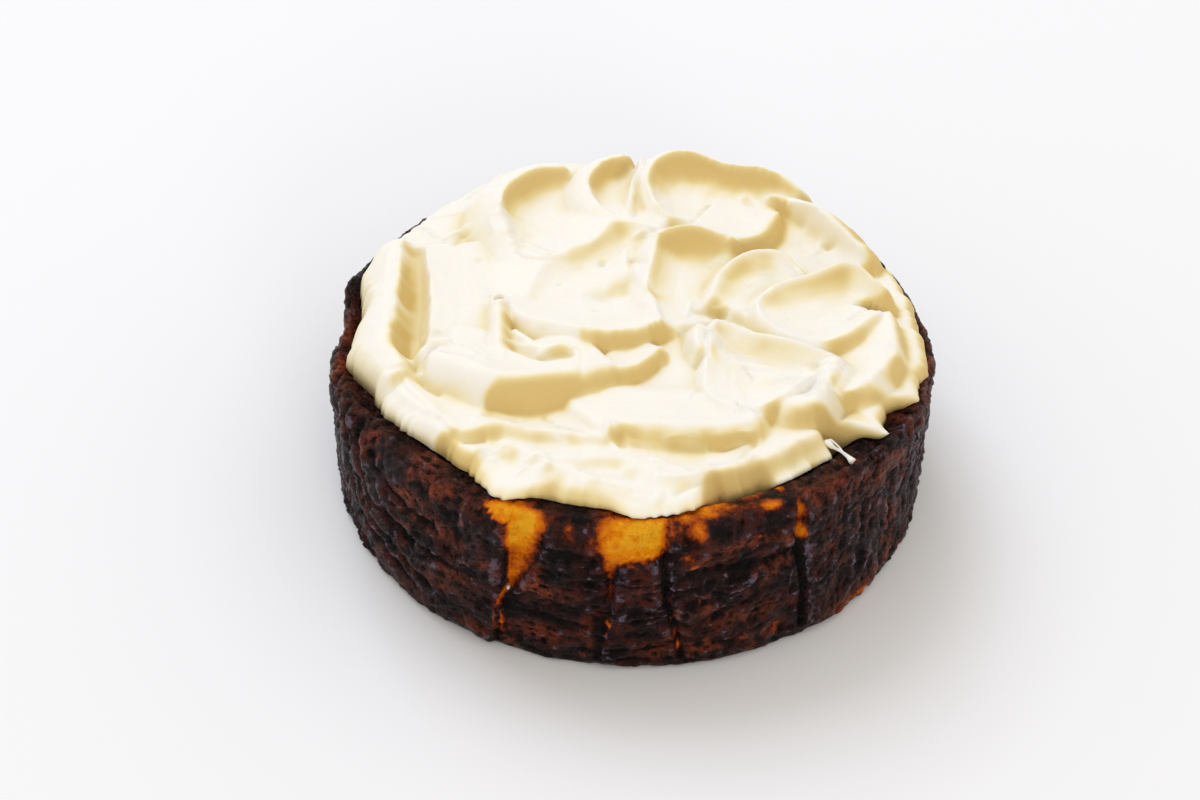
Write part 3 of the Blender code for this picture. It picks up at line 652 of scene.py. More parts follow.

# Its colour also holds painted shade in the pits and creases, and a painted sheen and glints on what stands
# proud.
# Burnt crust: caramelised milk protein and sugar, oven-dried and oiled by the cheese's fat.
# Near-black brown with red-brown patches under a broken oily gloss; custard shows amber.
# Blisters and pits of the dried skin; the finest are drawn coarse enough to show
PORE_SIZE = 0.8 * MM
SPECKLE_SIZE = 1.6 * MM
CLOT_SIZE = 3.2 * MM
PATCH_SIZE = 9 * MM
SHADE_AND_CHAR_BLACK = "#090303"
EMBER_BROWN = "#944426"
SHEEN_GREY = "#382329"
PAINTED_GLINT = "#6a5d6c"
DARK_SKIN = [(0.38, "#0b0303"), (0.5, "#1e0906"), (0.64, "#4c1b0d")]
AMBER = [(0.16, "#260a04"), (0.34, "#6e2405"), (0.5, "#b04a03"), (0.7, "#e47602"), (0.88, "#fb9802"),
         (1.0, "#ffb61c")]
# Sockets of a colour mix
FIRST = 6
SECOND = 7
MIXED = 2
crust_material, tree = add_material("burnt_custard_crust")
place = add_node(tree, "ShaderNodeTexCoord").outputs["Object"]
noise = {}
for name, size, detail, roughness in (("pores", PORE_SIZE, 3.0, 0.5), ("speckle", SPECKLE_SIZE, 6.0, 0.65),
                                      ("clots", CLOT_SIZE, 3.0, 0.6), ("patches", PATCH_SIZE, 5.0, 0.6)):
    node = add_node(tree, "ShaderNodeTexNoise",
                    inputs={"Vector": place, "Scale": 1 / size, "Detail": detail, "Roughness": roughness})
    noise[name] = node.outputs["Fac"]
mask = {}
for name in ("custard", "ember", "char_and_shade", "proud", "painted_sheen"):
    mask[name] = add_node(tree, "ShaderNodeAttribute", {"attribute_name": name}).outputs["Fac"]
# Height of a place: the relief with fine speckle on it
speckle_height = add_node(tree, "ShaderNodeMath", {"operation": "MULTIPLY_ADD"},
                          {0: noise["speckle"], 1: 1.1, 2: -0.55}).outputs[0]
height = add_node(tree, "ShaderNodeMath", {"operation": "ADD"},
                  {0: mask["proud"], 1: speckle_height}).outputs[0]
# Zones of painted sheen between duller clots
clotted = add_node(tree, "ShaderNodeMath", {"operation": "MULTIPLY_ADD"},
                   {0: noise["clots"], 1: 4.0, 2: -2.0}).outputs[0]
sheen_zone = add_node(tree, "ShaderNodeMath", {"operation": "ADD", "use_clamp": True},
                {0: clotted, 1: mask["painted_sheen"]}).outputs[0]
# Dark skin with a painted purple-grey sheen on what stands proud
dark = add_node(tree, "ShaderNodeValToRGB", inputs={"Fac": noise["patches"]}, stops=DARK_SKIN)
dark = dark.outputs["Color"]
raised = add_node(tree, "ShaderNodeMath", {"operation": "MULTIPLY_ADD", "use_clamp": True},
                  {0: height, 1: 5.0, 2: -2.5}).outputs[0]
sheen_share = add_node(tree, "ShaderNodeMath", {"operation": "MULTIPLY"}, {0: raised, 1: sheen_zone}).outputs[0]
dark = add_node(tree, "ShaderNodeMix", {"data_type": "RGBA"},
                {0: sheen_share, FIRST: dark, SECOND: linear(SHEEN_GREY)}).outputs[MIXED]
# Red-brown patches, broken up by the speckle
mottle = add_node(tree, "ShaderNodeMath", {"operation": "MULTIPLY_ADD", "use_clamp": True},
                  {0: noise["speckle"], 1: 3.2, 2: -1.0}).outputs[0]
warmth = add_node(tree, "ShaderNodeMath", {"operation": "MULTIPLY", "use_clamp": True},
                  {0: mask["ember"], 1: mottle}).outputs[0]
warm = add_node(tree, "ShaderNodeMix", {"data_type": "RGBA"},
                {0: warmth, FIRST: dark, SECOND: linear(EMBER_BROWN)}).outputs[MIXED]
# Black: painted shade in the pits and creases, and the deepest burnt places
pit = add_node(tree, "ShaderNodeMath", {"operation": "MULTIPLY_ADD", "use_clamp": True},
               {0: height, 1: -2.6, 2: 1.25}).outputs[0]
black = add_node(tree, "ShaderNodeMath", {"operation": "MAXIMUM"}, {0: mask["char_and_shade"], 1: pit}).outputs[0]
burnt_with_painted_light = add_node(tree, "ShaderNodeMix", {"data_type": "RGBA"},
                 {0: black, FIRST: warm, SECOND: linear(SHADE_AND_CHAR_BLACK)}).outputs[MIXED]
# Painted glints on the highest blisters
highest = add_node(tree, "ShaderNodeMath", {"operation": "MULTIPLY_ADD", "use_clamp": True},
                   {0: height, 1: 9.0, 2: -7.9}).outputs[0]
glint = add_node(tree, "ShaderNodeMath", {"operation": "MULTIPLY"}, {0: highest, 1: sheen_zone}).outputs[0]
burnt_with_painted_light = add_node(tree, "ShaderNodeMix", {"data_type": "RGBA"},
                 {0: glint, FIRST: burnt_with_painted_light, SECOND: linear(PAINTED_GLINT)}).outputs[MIXED]
# Custard, browned unevenly
grain = add_node(tree, "ShaderNodeMath", {"operation": "MULTIPLY_ADD"},
                 {0: noise["speckle"], 1: 0.5, 2: -0.27}).outputs[0]
drift = add_node(tree, "ShaderNodeMath", {"operation": "MULTIPLY_ADD"},
                 {0: noise["patches"], 1: 1.2, 2: -0.62}).outputs[0]
grained = add_node(tree, "ShaderNodeMath", {"operation": "ADD"}, {0: mask["custard"], 1: grain}).outputs[0]
paleness = add_node(tree, "ShaderNodeMath", {"operation": "ADD"}, {0: grained, 1: drift}).outputs[0]
amber = add_node(tree, "ShaderNodeValToRGB", inputs={"Fac": paleness}, stops=AMBER).outputs["Color"]
uncovered = add_node(tree, "ShaderNodeMath", {"operation": "MULTIPLY_ADD", "use_clamp": True},
                     {0: paleness, 1: 2.8, 2: -0.45}).outputs[0]
crust_colour = add_node(tree, "ShaderNodeMix", {"data_type": "RGBA"},
                        {0: uncovered, FIRST: burnt_with_painted_light, SECOND: amber}).outputs[MIXED]
# Broken gloss: oily between the clots, dull on them
dullness = add_node(tree, "ShaderNodeMath", {"operation": "MULTIPLY_ADD", "use_clamp": True},
                    {0: noise["clots"], 1: 1.2, 2: -0.38}).outputs[0]
rough = add_node(tree, "ShaderNodeMath", {"operation": "MAXIMUM"}, {0: dullness, 1: 0.14}).outputs[0]
bump = add_node(tree, "ShaderNodeBump",
                inputs={"Strength": 0.7, "Distance": 0.4 * MM, "Height": noise["pores"]}).outputs["Normal"]
bump = add_node(tree, "ShaderNodeBump", inputs={"Strength": 1.0, "Distance": 1.7 * MM, "Normal": bump,
                                                "Height": noise["speckle"]}).outputs["Normal"]
shader = add_node(tree, "ShaderNodeBsdfPrincipled",
                  inputs={"Base Color": crust_colour, "Roughness": rough, "IOR": 1.47,
                          "Specular IOR Level": 0.15, "Normal": bump})
add_node(tree, "ShaderNodeOutputMaterial", inputs={"Surface": shader.outputs["BSDF"]})
cake.data.materials.append(crust_material)
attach(cake, "root")
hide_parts("cheesecake")


# Whipped cream: lightly sweetened cream whipped to soft peaks, heaped on the cold cake and
# swept about with the back of a spatula, which left hollows with sharp crests and rolls.
CREAM_GAP = 0.4
CREAM_EDGE_GAP = 0.6
CREAM_RADIUS = 93.0
CREAM_MIDDLE = 64.3
CREAM_EDGE_FALL = 3.3
LIP_WIDTH = 4.5
CREAM_GRID = 284
TUCK_STEPS = (0.985, 0.965, 0.94, 0.9, 0.86)

# Swells and nicks of the cream's outer edge: angle, outward size, width
EDGE = [
    (8, 3, 12), (33, -5, 8), (76, 2, 12), (93, -4, 7), (117, 4, 9), (163, 3, 7), (178, -2, 5), (191, 3, 6),
    (203, -1.5, 4), (226, -5, 12), (241.5, 2, 3), (246, 2.5, 4), (256.5, 2.2, 3), (257, -5, 8), (271, 1.2, 3),
    (273, 1.5, 5), (288.3, -3.8, 3.2), (294, -7, 9), (297.8, -2.6, 2.2), (309, -4.5, 6), (319.5, -11, 4),
    (326.4, 4, 1.4), (333, -1.8, 2.2), (339.3, 4, 2.6), (349, 5, 9),
]


def cream_edge(angle):
    """Outline radius of the cream."""
    radius = np.full(np.shape(angle), CREAM_RADIUS)
    for centre, size, width in EDGE:
        radius = radius + size * bell(angle, centre, width)
    return radius


# Creases, ridges (negative depth) and ripples left by the spatula: width, depth, way
CREASES = [
    # Ripples at the lower end of the broad left slope and the fold that ends it
    (1, -0.55, [(-59, -26), (-53, -29), (-47.5, -33)]),
    (0.9, -0.45, [(-57.5, -23.5), (-52, -26.5), (-46, -31)]),
    (0.9, -0.35, [(-63, -23.5), (-58, -22), (-54, -23)]),
    (1.8, -1.3, [(-70, -29.5), (-71, -17.5), (-69, -15.5), (-65.5, -16.5)]),
    # Creases round the thick roll and over its back
    (1.5, 1.3, [(-70.5, -31), (-68.5, -37), (-66, -40.5), (-63, -42.5)]),
    (0.8, 0.4, [(-18, -25), (-16.5, -28), (-16.5, -39.5)]),
    (1.1, 0.8, [(-46.5, -53), (-42, -55), (-37.5, -56)]),
    (0.9, 0.9, [(-28.5, -53), (-26.5, -54.5), (-25, -55)]),
    (1, 0.9, [(-24, -57.5), (-20, -58.5), (-16, -60.5)]),
    (0.8, -0.6, [(-24, -64.5), (-21, -66)]),
    # Line between the thick roll's two nested ends
    (1, 0.7, [(-67, -35), (-65.6, -31.4), (-61.2, -30), (-55, -32)]),
    # Lines up the curl and the slope beside it
    (0.8, 0.5, [(-49, -1), (-48.4, -10.5), (-47.6, -22.5)]),
    # Small roll and deep creases at the left edge
    (1.3, -0.9, [(-74, -32.5), (-72, -36), (-69.5, -36.5)]),
    (1, 0.7, [(-75, -36), (-74, -39.5), (-70, -46), (-66, -50.5)]),
    (1.2, 1.3, [(-61.5, -56), (-57, -61), (-52.5, -64.5), (-47, -63)]),
    (0.9, 0.7, [(-81, -35.5), (-78.5, -35.5), (-75, -34.5)]),
    # Little peaks and flecks of the apron
    (1.7, -1.6, [(-31.5, -72.5), (-29, -72), (-27, -75.5)]),
    (0.7, -0.7, [(-48.5, -69), (-45.5, -68.5), (-42, -68)]),
    (0.7, -0.6, [(-47.5, -71.5), (-43, -72)]),
    (0.7, -0.7, [(-41.5, -69.5), (-38.5, -70.5)]),
    (0.7, -0.6, [(-36, -77.5), (-33, -75.5)]),
    (1, -0.6, [(-27, -76.5), (-19.5, -77), (-10, -81), (-1.5, -84.5)]),
    (0.9, -0.4, [(-19, -81.5), (-17, -85.5), (-17.5, -89.5)]),
    (1, 0.5, [(-16.5, -77.5), (-9, -79), (1, -80)]),
    (1, 0.6, [(-9, -82), (-1.5, -84.5), (6, -86)]),
    (0.9, 0.8, [(14, -85), (18, -82.5), (23.5, -80)]),
    (0.8, -0.5, [(8.5, -78.5), (17, -79), (27, -76)]),
    # Folds on the face and the rounded end of the front roll
    (0.9, 0.7, [(-7, -57.5), (-4.5, -61), (-2.5, -64.5)]),
    (1.2, -0.8, [(-8.5, -58.5), (-7.5, -64), (-5, -67)]),
    (0.8, -0.8, [(8.5, -65.5), (15, -64.5), (22, -65.5)]),
    (0.8, 0.8, [(8.5, -66), (16, -67), (23, -65.5)]),
    (0.8, 0.7, [(-0.5, -64), (4, -65), (8.5, -65.5)]),
    (0.9, -0.8, [(6.5, -71), (11.5, -73.5), (16.5, -76)]),
    (0.9, 0.7, [(23.5, -66), (29.5, -65.5), (36, -62.5)]),
    (0.8, -0.6, [(24.5, -64), (31, -62.5), (37, -60.5)]),
    (0.8, 0.6, [(24.5, -73), (33.5, -69.5), (39, -61)]),
    # Rough crest of the floor before the broad face
    (0.9, -0.4, [(16.5, -45), (19.5, -36.5), (20, -31), (23.5, -28.5)]),
    (0.8, 0.3, [(18, -44.5), (20.5, -37.5), (21.5, -34.5)]),
    # Knob beside the broad face and the shadow under it
    (1.6, -1, [(26, -13.5), (26, -19.5), (25, -25.5)]),
    (1.5, 1.3, [(18, -22.5), (20.5, -26.5), (23.5, -26.5)]),
    # Ridges down the fold before the broad face
    (1.2, -0.5, [(48.5, -41.5), (53.5, -41.5), (57.5, -47.5), (61.5, -50.5)]),
    (0.8, -0.5, [(52, -37.5), (58.5, -37), (62.5, -43.5)]),
    (0.8, -0.5, [(55.5, -31.5), (60.5, -33.5), (64.5, -38)]),
    (0.8, 0.5, [(57.5, -29.5), (62.5, -31.5), (67, -32.5)]),
    (1, 0.9, [(69, -27.5), (65.5, -38.5), (63, -44.5), (62, -51)]),
    (1.4, 1.3, [(62, -51), (71.5, -43), (80.5, -34.5)]),
    (1, 1.2, [(32.5, -49), (38, -51.5), (44.5, -50)]),
    (1, -0.7, [(36, -52), (39.5, -57), (39, -61.5)]),
    (1.4, 0.9, [(52.5, -53), (56.5, -54), (58, -53)]),
    # Outer band at the right
    (0.9, 0.6, [(83.5, -17), (83.5, -24), (80.5, -32), (74, -39)]),
    (0.8, -0.4, [(77, -15), (79, -9), (80.5, -3.5)]),
    (0.8, 0.7, [(71.5, -6.5), (75.5, -1.5), (80.5, 3.5)]),
    # Hollow at the back left: crease across its floor and the small fold at its end
    (0.8, 0.35, [(-44, 46), (-32, 41.5), (-26.5, 27.5)]),
    (1.1, -1, [(-40.5, 28.5), (-34.5, 28.5), (-29, 23)]),
    (1, 0.9, [(-39, 24.5), (-33.5, 21.5), (-29.5, 20)]),
    (1.3, -1, [(-47, 41), (-43.5, 39.5), (-42.5, 33.5)]),
    (0.9, -0.8, [(-48.5, 45), (-50.5, 39.5), (-49, 34)]),
    # Crumpled crest between the two back hollows
    (0.9, -0.8, [(-2, 75), (0.5, 90.5), (4.5, 91.5)]),
    (0.9, 0.7, [(0.5, 67), (1.5, 60.5), (4.5, 52)]),
    (0.8, -0.8, [(-1, 74.5), (-1, 55.5), (2.5, 50.5)]),
    (0.8, 0.6, [(-3, 46), (-1, 44), (0, 51)]),
    (0.8, -0.8, [(36.5, 58), (39.5, 59), (43, 56.5)]),
    (0.7, 0.7, [(38, 56.5), (40.5, 55.5)]),
    # Crumpled crest left of the middle hollow
    (0.9, -0.9, [(-0.5, 34.5), (3.5, 36), (8.5, 30)]),
    (0.9, 0.9, [(-0.5, 24), (1.5, 22), (4, 17.5)]),
    (0.9, -1, [(0, 20.5), (1.5, 10.5), (6, 0.5), (9, -9.5)]),
    (0.8, -0.6, [(-3, 29), (-2.5, 21), (1, 11.5)]),
    (1.5, -0.9, [(40, 20.5), (42, 20)]),
    (0.8, -0.6, [(32.5, 31), (36, 31.5), (40, 34)]),
    (1, -0.8, [(51, 21.5), (54, 18.5), (56, 14.5)]),
    (0.7, -0.8, [(17.5, -3.5), (18, 1), (18.5, 3.5)]),
    (1.4, 1, [(20.5, -2), (26, -2.5), (29.5, -2.5)]),
    (1, 1.4, [(25, 0.5), (27.5, 0.5)]),
    (0.9, 1.1, [(28, -2), (30, -2)]),
    # Dark hollow and rough ground behind the right side
    (1.8, 2.2, [(50, 54), (54.5, 50.5), (58, 47.5)]),
    (1, -1, [(58.5, 47.5), (62.5, 45), (67, 41.5)]),
    (1, -1, [(69, 39), (72.5, 35.5), (78, 30)]),
    (0.9, -0.6, [(66, 41.5), (64, 40), (62.5, 35.5)]),
    # Left edge and the lines at the back
    (1.1, 0.9, [(-74.5, 46.5), (-71, 45.5), (-68.5, 40.5)]),
    (1, -0.9, [(-66, 39), (-62.5, 42.5), (-59, 43.5)]),
    (0.9, 0.8, [(-62.5, 30.5), (-60.5, 40), (-57.5, 39.5)]),
    (1.4, 1, [(-81.5, 48), (-79, 51.5), (-76, 53.5)]),
    (0.8, 0.5, [(-76.5, 50), (-70, 52.5), (-63.5, 54.5)]),
    (0.9, 0.5, [(-58, 63.5), (-55, 68), (-50.5, 58)]),
    (0.9, 0.5, [(-41.5, 90), (-34.5, 94), (-28, 95)]),
    (0.9, 0.5, [(-24.5, 90), (-20.5, 94.5), (-13, 95.5)]),
    (0.9, -0.6, [(-83, 25), (-84, 17.5), (-84, 2.5)]),
    (0.9, -0.6, [(-90.5, 28), (-91, 19.5), (-89, 2.5)]),
    (0.8, 0.5, [(-76.5, 18), (-78.5, 7), (-80, -3.5), (-79.5, -14)]),
    # Lip of the curl's open end
    (0.7, -0.7, [(-47.4, -3.4), (-47.2, -0.8), (-44.6, 0.8), (-42, 0), (-41.4, -2.2), (-43, -4.4),
                 (-45.6, -4.8)]),
]

# Burst bubbles: place, radius, depth
PITS = [
    (-11.5, 21.5, 1.1, 0.9), (-52.5, 23, 1.3, 1.2), (-24, 46.5, 0.9, 0.6), (-25, 9.5, 1, 0.7),
    (-13, -3.5, 0.7, 0.6), (-59, 56.5, 1, 0.8), (-63, 14, 0.7, 0.5), (-3.5, -66, 1.6, 2),
    (66.5, 37, 1.5, 2.4), (36.5, -1.5, 0.8, 0.8), (39, -2.5, 0.7, 0.6), (-50.5, -74.5, 1.2, 0.8),
    (51, -69, 0.9, 0.7), (43, 2.5, 1, 0.7), (73.5, -37.5, 0.6, 0.5), (-10.5, 22, 1.2, 0.9),
    (48.5, 7, 0.7, 0.5), (59, -1.5, 0.6, 0.5), (51.5, -5.5, 0.6, 0.5), (-13, -3.5, 0.6, 0.5),
]
PIT_DEPTH = 0.6


def detail_cream(cream):
    """Creases, bubbles and the fine roughness of whipped cream."""
    for width, depth, way in CREASES:
        cream.press(way, width, depth)
    for x, y, size, depth in PITS:
        away = (cream.x - x) ** 2 + (cream.y - y) ** 2
        cream.height -= PIT_DEPTH * depth * np.exp(-((away / size ** 2) ** 1.5))
    for size, depth, seed in ((9.0, 0.22, 81), (4.2, 0.12, 82), (2.0, 0.06, 83)):
        cream.height += depth * plane_noise(cream.x, cream.y, size, seed)


def shape_cream(x, y):
    """Upper side of the cream: the low mound, then every sweep of the spatula."""
    radius = np.hypot(x, y)
    # Crests waver a little
    x = x + 0.8 * plane_noise(x, y, 11.0, 51) + 0.35 * plane_noise(x, y, 4.0, 52)
    y = y + 0.8 * plane_noise(x, y, 11.0, 53) + 0.35 * plane_noise(x, y, 4.0, 54)
    cream = Surface(x, y, CREAM_MIDDLE - CREAM_EDGE_FALL * (radius / WALL_RADIUS) ** 2.5)
    # Outer band at the left and the broad slope beside its slot
    cream.sweep([(-78, 30, 69.5), (-76, 14, 70), (-79, -2, 70), (-79, -19, 70), (-75, -35, 68)],
                wall=6, floor=61.5, back=12, fall=7, rounding=1.8)
    cream.sweep([(-73, 27, 69), (-69, 12, 68.5), (-66, -16, 68), (-69, -26, 68), (-69, -35, 66.5)],
                wall=9, floor=66, back=2.5, fall=6, reach=20)
    # Hollow at the back left
    cream.sweep([(-26, 68, 73), (-35, 65, 75), (-44, 55, 75), (-46, 43, 73.5), (-41, 29, 70.5),
                 (-36, 20, 68.5)],
                wall=4, floor=66.5, back=10, fall=6, rounding=1.8)
    # Narrow hollow at the back
    cream.sweep([(-4, 76, 73.5), (-12, 71, 74), (-16, 60, 74), (-13, 50, 73), (-3, 42, 71), (9, 40, 69.5)],
                wall=2.5, floor=67, back=9, fall=6, rounding=1.8)
    cream.sweep([(-4, 43, 71), (-2, 54, 74.5), (1, 70, 76.5)], wall=2, floor=67, back=7, fall=5)
    # Large hollow at the back right and its front edge
    cream.sweep([(55, 60, 72), (48, 66, 75.5), (31, 69, 76), (20, 73.5, 77.8), (8, 71, 76.5), (4, 60, 75),
                 (10, 48, 72), (18, 44, 70)],
                wall=4.5, floor=67.5, back=9, fall=9)
    cream.sweep([(20, 40, 70.5), (31, 35, 69.5), (43, 38, 69), (49, 50, 69), (49, 57, 69)],
                wall=16, floor=67.5, back=3, fall=4)
    # Middle hollow: rim, then the lip that it pushes to the front
    cream.sweep([(8, 37, 71.5), (-7, 40, 71.5), (-15, 29, 71), (-28, 21, 70), (-34, 10, 69),
                 (-35, 4, 68.5)],
                wall=5, floor=66.3, back=16, fall=3)
    cream.sweep([(-41, 2, 68.5), (-36, -9, 70), (-20, -16, 71.3), (-5, -18, 71.5), (8, -11, 70.5)],
                wall=8, floor=66.3, back=5.5, fall=8, rounding=1.9)
    # Hollow right of the middle
    cream.sweep([(32, 32, 71.5), (19, 34, 75), (9, 30, 74), (6, 18, 72), (4, 3, 70.5), (9, -11, 69.5)],
                wall=5, floor=65.5, back=6, fall=5)
    # Small hollow
    cream.sweep([(56, 15, 71), (50, 23, 73), (39, 23, 73.5), (30, 15, 71.8), (25, 2, 69.5)],
                wall=5, floor=66.5, back=4, fall=5)
    # Hollow at the right
    cream.sweep([(83, 8, 71), (72, 16, 75.5), (60, 11.5, 73.5), (46, 7, 71.5), (40, -1, 70.5),
                 (46, -13, 70.5), (60, -20, 71), (72, -14, 70.7), (80, -4, 69.5)],
                wall=6, floor=66.3, back=4.5, fall=7)
    # Broad face at the right of the front, its floor and the fold before it
    cream.sweep([(64, -26, 70), (52, -22, 71.7), (38, -19, 72.5), (27, -14, 72.5), (25, -27, 68)],
                wall=10, floor=63.5, back=4, fall=4)
    cream.roll([(21, -15, 71.5), (21, -20, 70.5), (22, -24, 69)], width=4.5, fall=5)
    cream.sweep([(24, -27, 69), (22, -37, 67.7), (25.5, -46, 67.6), (33.5, -51, 68), (43, -49, 68.8),
                 (58, -36, 70)],
                wall=9, floor=64.2, back=4, fall=6)
    cream.roll([(65, -30, 70.8), (62, -40, 70.6), (57, -46.5, 69.6), (49, -48, 68)], width=7, fall=6)
    # Thick roll at the left of the front
    cream.roll([(-67.5, -29.5, 70.3), (-65.5, -25.5, 71), (-61, -24.5, 70.6)], width=4, fall=5)
    cream.sweep([(-63, -31.5, 71.3), (-53, -35.5, 72), (-40, -42, 72.5), (-27, -39.5, 72),
                 (-17, -35.5, 71), (-9, -31, 69.5)],
                wall=6, floor=68.5, back=8.5, fall=7, rounding=2.3, end=4.5)
    # Small curl with an open end
    cream.roll([(-44.6, -2, 71.4), (-44.4, -11, 71), (-43.6, -22, 70.3), (-41.5, -31, 68.6)],
               width=4.3, fall=4.6)
    cream.scoop([(-44.9, -2.2, 67.4), (-43.9, -1.8, 67.4)],
                left_width=1.3, right_width=1.3, rise=3.6, end=1.5)
    # Pocket under the middle lip with two small rolls in it
    cream.scoop([(-38, -23.5, 66), (-30, -28.5, 66), (-21, -28.5, 67.5)],
                left_width=4, right_width=3.5, rise=4, end=4)
    cream.roll([(-39, -15.5, 68.6), (-34.5, -19.5, 68.9), (-31.5, -23.2, 68)], width=2.6, fall=3)
    cream.roll([(-30, -25.8, 68.4), (-25, -23.8, 69.8), (-20.5, -25.3, 69.6)], width=2.4, fall=3.4)
    # Small roll under the middle lip
    cream.sweep([(-10, -30, 68), (-2, -34, 69), (8, -24, 69)],
                wall=5, floor=66.5, back=4, fall=6, rounding=1.9)
    # Roll at the middle of the front and the two folds on its face
    cream.sweep([(-9, -60, 65), (-5, -58, 67.8), (10, -60, 68.5), (28, -59, 68.5), (39, -54, 67)],
                wall=9, floor=65.5, back=8, fall=7, rounding=1.9)
    cream.sweep([(-2, -64, 65.5), (15, -65, 66), (37, -60, 66)], wall=2, floor=64, back=4, fall=5, end=3)
    cream.sweep([(1, -68, 62.5), (16, -75, 62.5), (39, -61, 64)], wall=2, floor=61, back=4, fall=5, end=3)
    # Low ridges in front of the left roll
    cream.sweep([(-76, -33, 66), (-68, -47, 65.5), (-54, -61, 65), (-43, -58, 66), (-32, -61, 66),
                 (-9, -63, 65)],
                wall=7, floor=62, back=5, fall=4)
    cream.sweep([(-66, -50, 63.5), (-57, -61, 63.5), (-48, -68, 63.5)], wall=3, floor=62, back=12, fall=3)
    cream.sweep([(-40, -65, 64.5), (-24, -73, 64.5), (-8, -71, 64.5), (8, -75, 64)],
                wall=6, floor=62.5, back=7, fall=4)
    cream.sweep([(-33, -73, 63.5), (-26, -77, 64), (-10, -81, 63.5), (8, -86, 63)],
                wall=4, floor=62, back=8, fall=4)
    cream.sweep([(-1, -75, 63.5), (18, -78, 64), (39, -70, 64), (58, -56, 63.5)],
                wall=6, floor=62, back=8, fall=4)
    # Outer band at the right
    cream.sweep([(62, -44, 67), (74, -39, 68), (83, -26, 69), (85, -15, 69), (84, -3, 69)],
                wall=8, floor=66, back=3, fall=4)
    # Hollow behind the right side
    cream.sweep([(79, 29, 69), (66, 44, 73.5), (58, 50, 74), (47, 56, 72)],
                wall=2.6, floor=64, back=9, fall=8, reach=7)
    # Slot at the left, running on under the thick roll
    cream.scoop([(-74, 26, 64), (-72, 6, 61.5), (-71, -24, 60.5)],
                left_width=3.6, right_width=6.5, rise=7, end=6)
    # Small roll at the left edge
    cream.sweep([(-92, -25, 66), (-80, -36, 67), (-75, -31, 67)], wall=6, floor=65, back=3, fall=5)
    detail_cream(cream)
    return cream.height


def square_to_disc(count):
    """Even grid over a disc of radius 1."""
    across, up = np.meshgrid(np.linspace(-1, 1, count + 1), np.linspace(-1, 1, count + 1))
    across = across.ravel()
    up = up.ravel()
    wide = np.abs(across) > np.abs(up)
    radius = np.where(wide, across, up)
    lesser = np.where(wide, up, across)
    turn = np.pi / 4 * lesser / np.where(np.abs(radius) < 1e-12, 1.0, radius)
    x = np.where(wide, radius * np.cos(turn), radius * np.sin(turn))
    y = np.where(wide, radius * np.sin(turn), radius * np.cos(turn))
    return x, y


def cream_bed(x, y):
    """Height of the cream's underside, a small gap above the crust."""
    slope = ease((np.hypot(x, y) - BASIN_RADIUS + 6.0) / 6.0)
    return crust_top(x, y) + CREAM_GAP + CREAM_EDGE_GAP * slope


def make_cream():
    """Closed layer: the swept upper side over an underside that follows the crust."""
    count = CREAM_GRID
    side = count + 1
    unit_x, unit_y = square_to_disc(count)
    share = np.hypot(unit_x, unit_y)
    angle = np.arctan2(unit_y, unit_x)
    turn = (angle / (2 * np.pi)) % 1.0
    ragged = 0.9 * ring_noise(turn, 130, 61) + 0.6 * ring_noise(turn, 340, 67)
    edge = cream_edge(angle) + ragged * share ** 6
    x = unit_x * edge
    y = unit_y * edge
    under = cream_bed(x, y)
    # The edge runs out thin and wide at the right of the front
    lip_width = LIP_WIDTH + 7.0 * bell(angle, 303.0, 15.0)
    inset = np.clip((1.0 - share) * edge / lip_width, 0.0, 1.0)
    lip = np.sqrt(1.0 - (1.0 - inset) ** 2)
    top = under + (shape_cream(x, y) - under) * lip
    points = [np.stack([x, y, top], axis=1)]
    index = np.arange(side * side).reshape(side, side)
    corners = np.stack([index[:-1, :-1], index[:-1, 1:], index[1:, 1:], index[1:, :-1]], axis=-1)
    faces = corners.reshape(-1, 4).tolist()
    rim = np.concatenate([index[0, :-1], index[:-1, -1], index[-1, :0:-1], index[:0:-1, 0]])
    previous = rim
    start = side * side
    # The underside turns in from the edge, ring by ring, and is flat from there
    for inward in TUCK_STEPS:
        ring_x = x[rim] * inward
        ring_y = y[rim] * inward
        points.append(np.stack([ring_x, ring_y, cream_bed(ring_x, ring_y)], axis=1))
        current = start + np.arange(len(rim))
        following = np.roll(current, -1)
        before = np.roll(previous, -1)
        faces.extend(np.stack([previous, current, following, before], axis=1).tolist())
        previous = current
        start += len(rim)
    points.append(np.array([[0.0, 0.0, BASIN_HEIGHT + CREAM_GAP]]))
    for here, there in zip(previous, np.roll(previous, -1)):
        faces.append((int(here), start, int(there)))
    return np.vstack(points), faces, cream_shade_mask(top.reshape(side, side), 2 * CREAM_RADIUS / count).ravel()


def smoothed_sheet(sheet, rounds):
    """Grid of heights blurred a little in each round, its border held."""
    margin = 24
    smooth = np.pad(sheet, margin, mode="edge")
    for step in range(rounds):
        smooth = 0.2 * (smooth + np.roll(smooth, 1, 0) + np.roll(smooth, -1, 0)
                        + np.roll(smooth, 1, 1) + np.roll(smooth, -1, 1))
    return smooth[margin:-margin, margin:-margin]


# Direction of the window from the cake: behind it and to its left
WINDOW_BACK = 0.85
WINDOW_LEFT = 0.52


def cream_shade_mask(heights, cell):
    """Painted shade, from 0 on open ground to 1 in hollows and on faces turned from the window."""
    depth = smoothed_sheet(heights, 90) - heights
    uphill, across = np.gradient(smoothed_sheet(heights, 8), cell)
    turned_away = WINDOW_BACK * uphill - WINDOW_LEFT * across
    shade_amount = 0.5 * ease(depth / 3.0) + 0.95 * ease((turned_away - 0.09) / 0.8)
    shade_amount = shade_amount + 0.2 * ease((np.hypot(uphill, across) - 0.6) / 1.4)
    return np.clip(smoothed_sheet(shade_amount, 3), 0.0, 1.0)


cream_points, cream_faces, cream_shade_values = make_cream()
cream = add_object("whipped_cream_swirls", cream_points, cream_faces)
add_mask(cream, "cream_shade", np.concatenate([cream_shade_values, np.zeros(len(cream_points) - len(cream_shade_values))]))
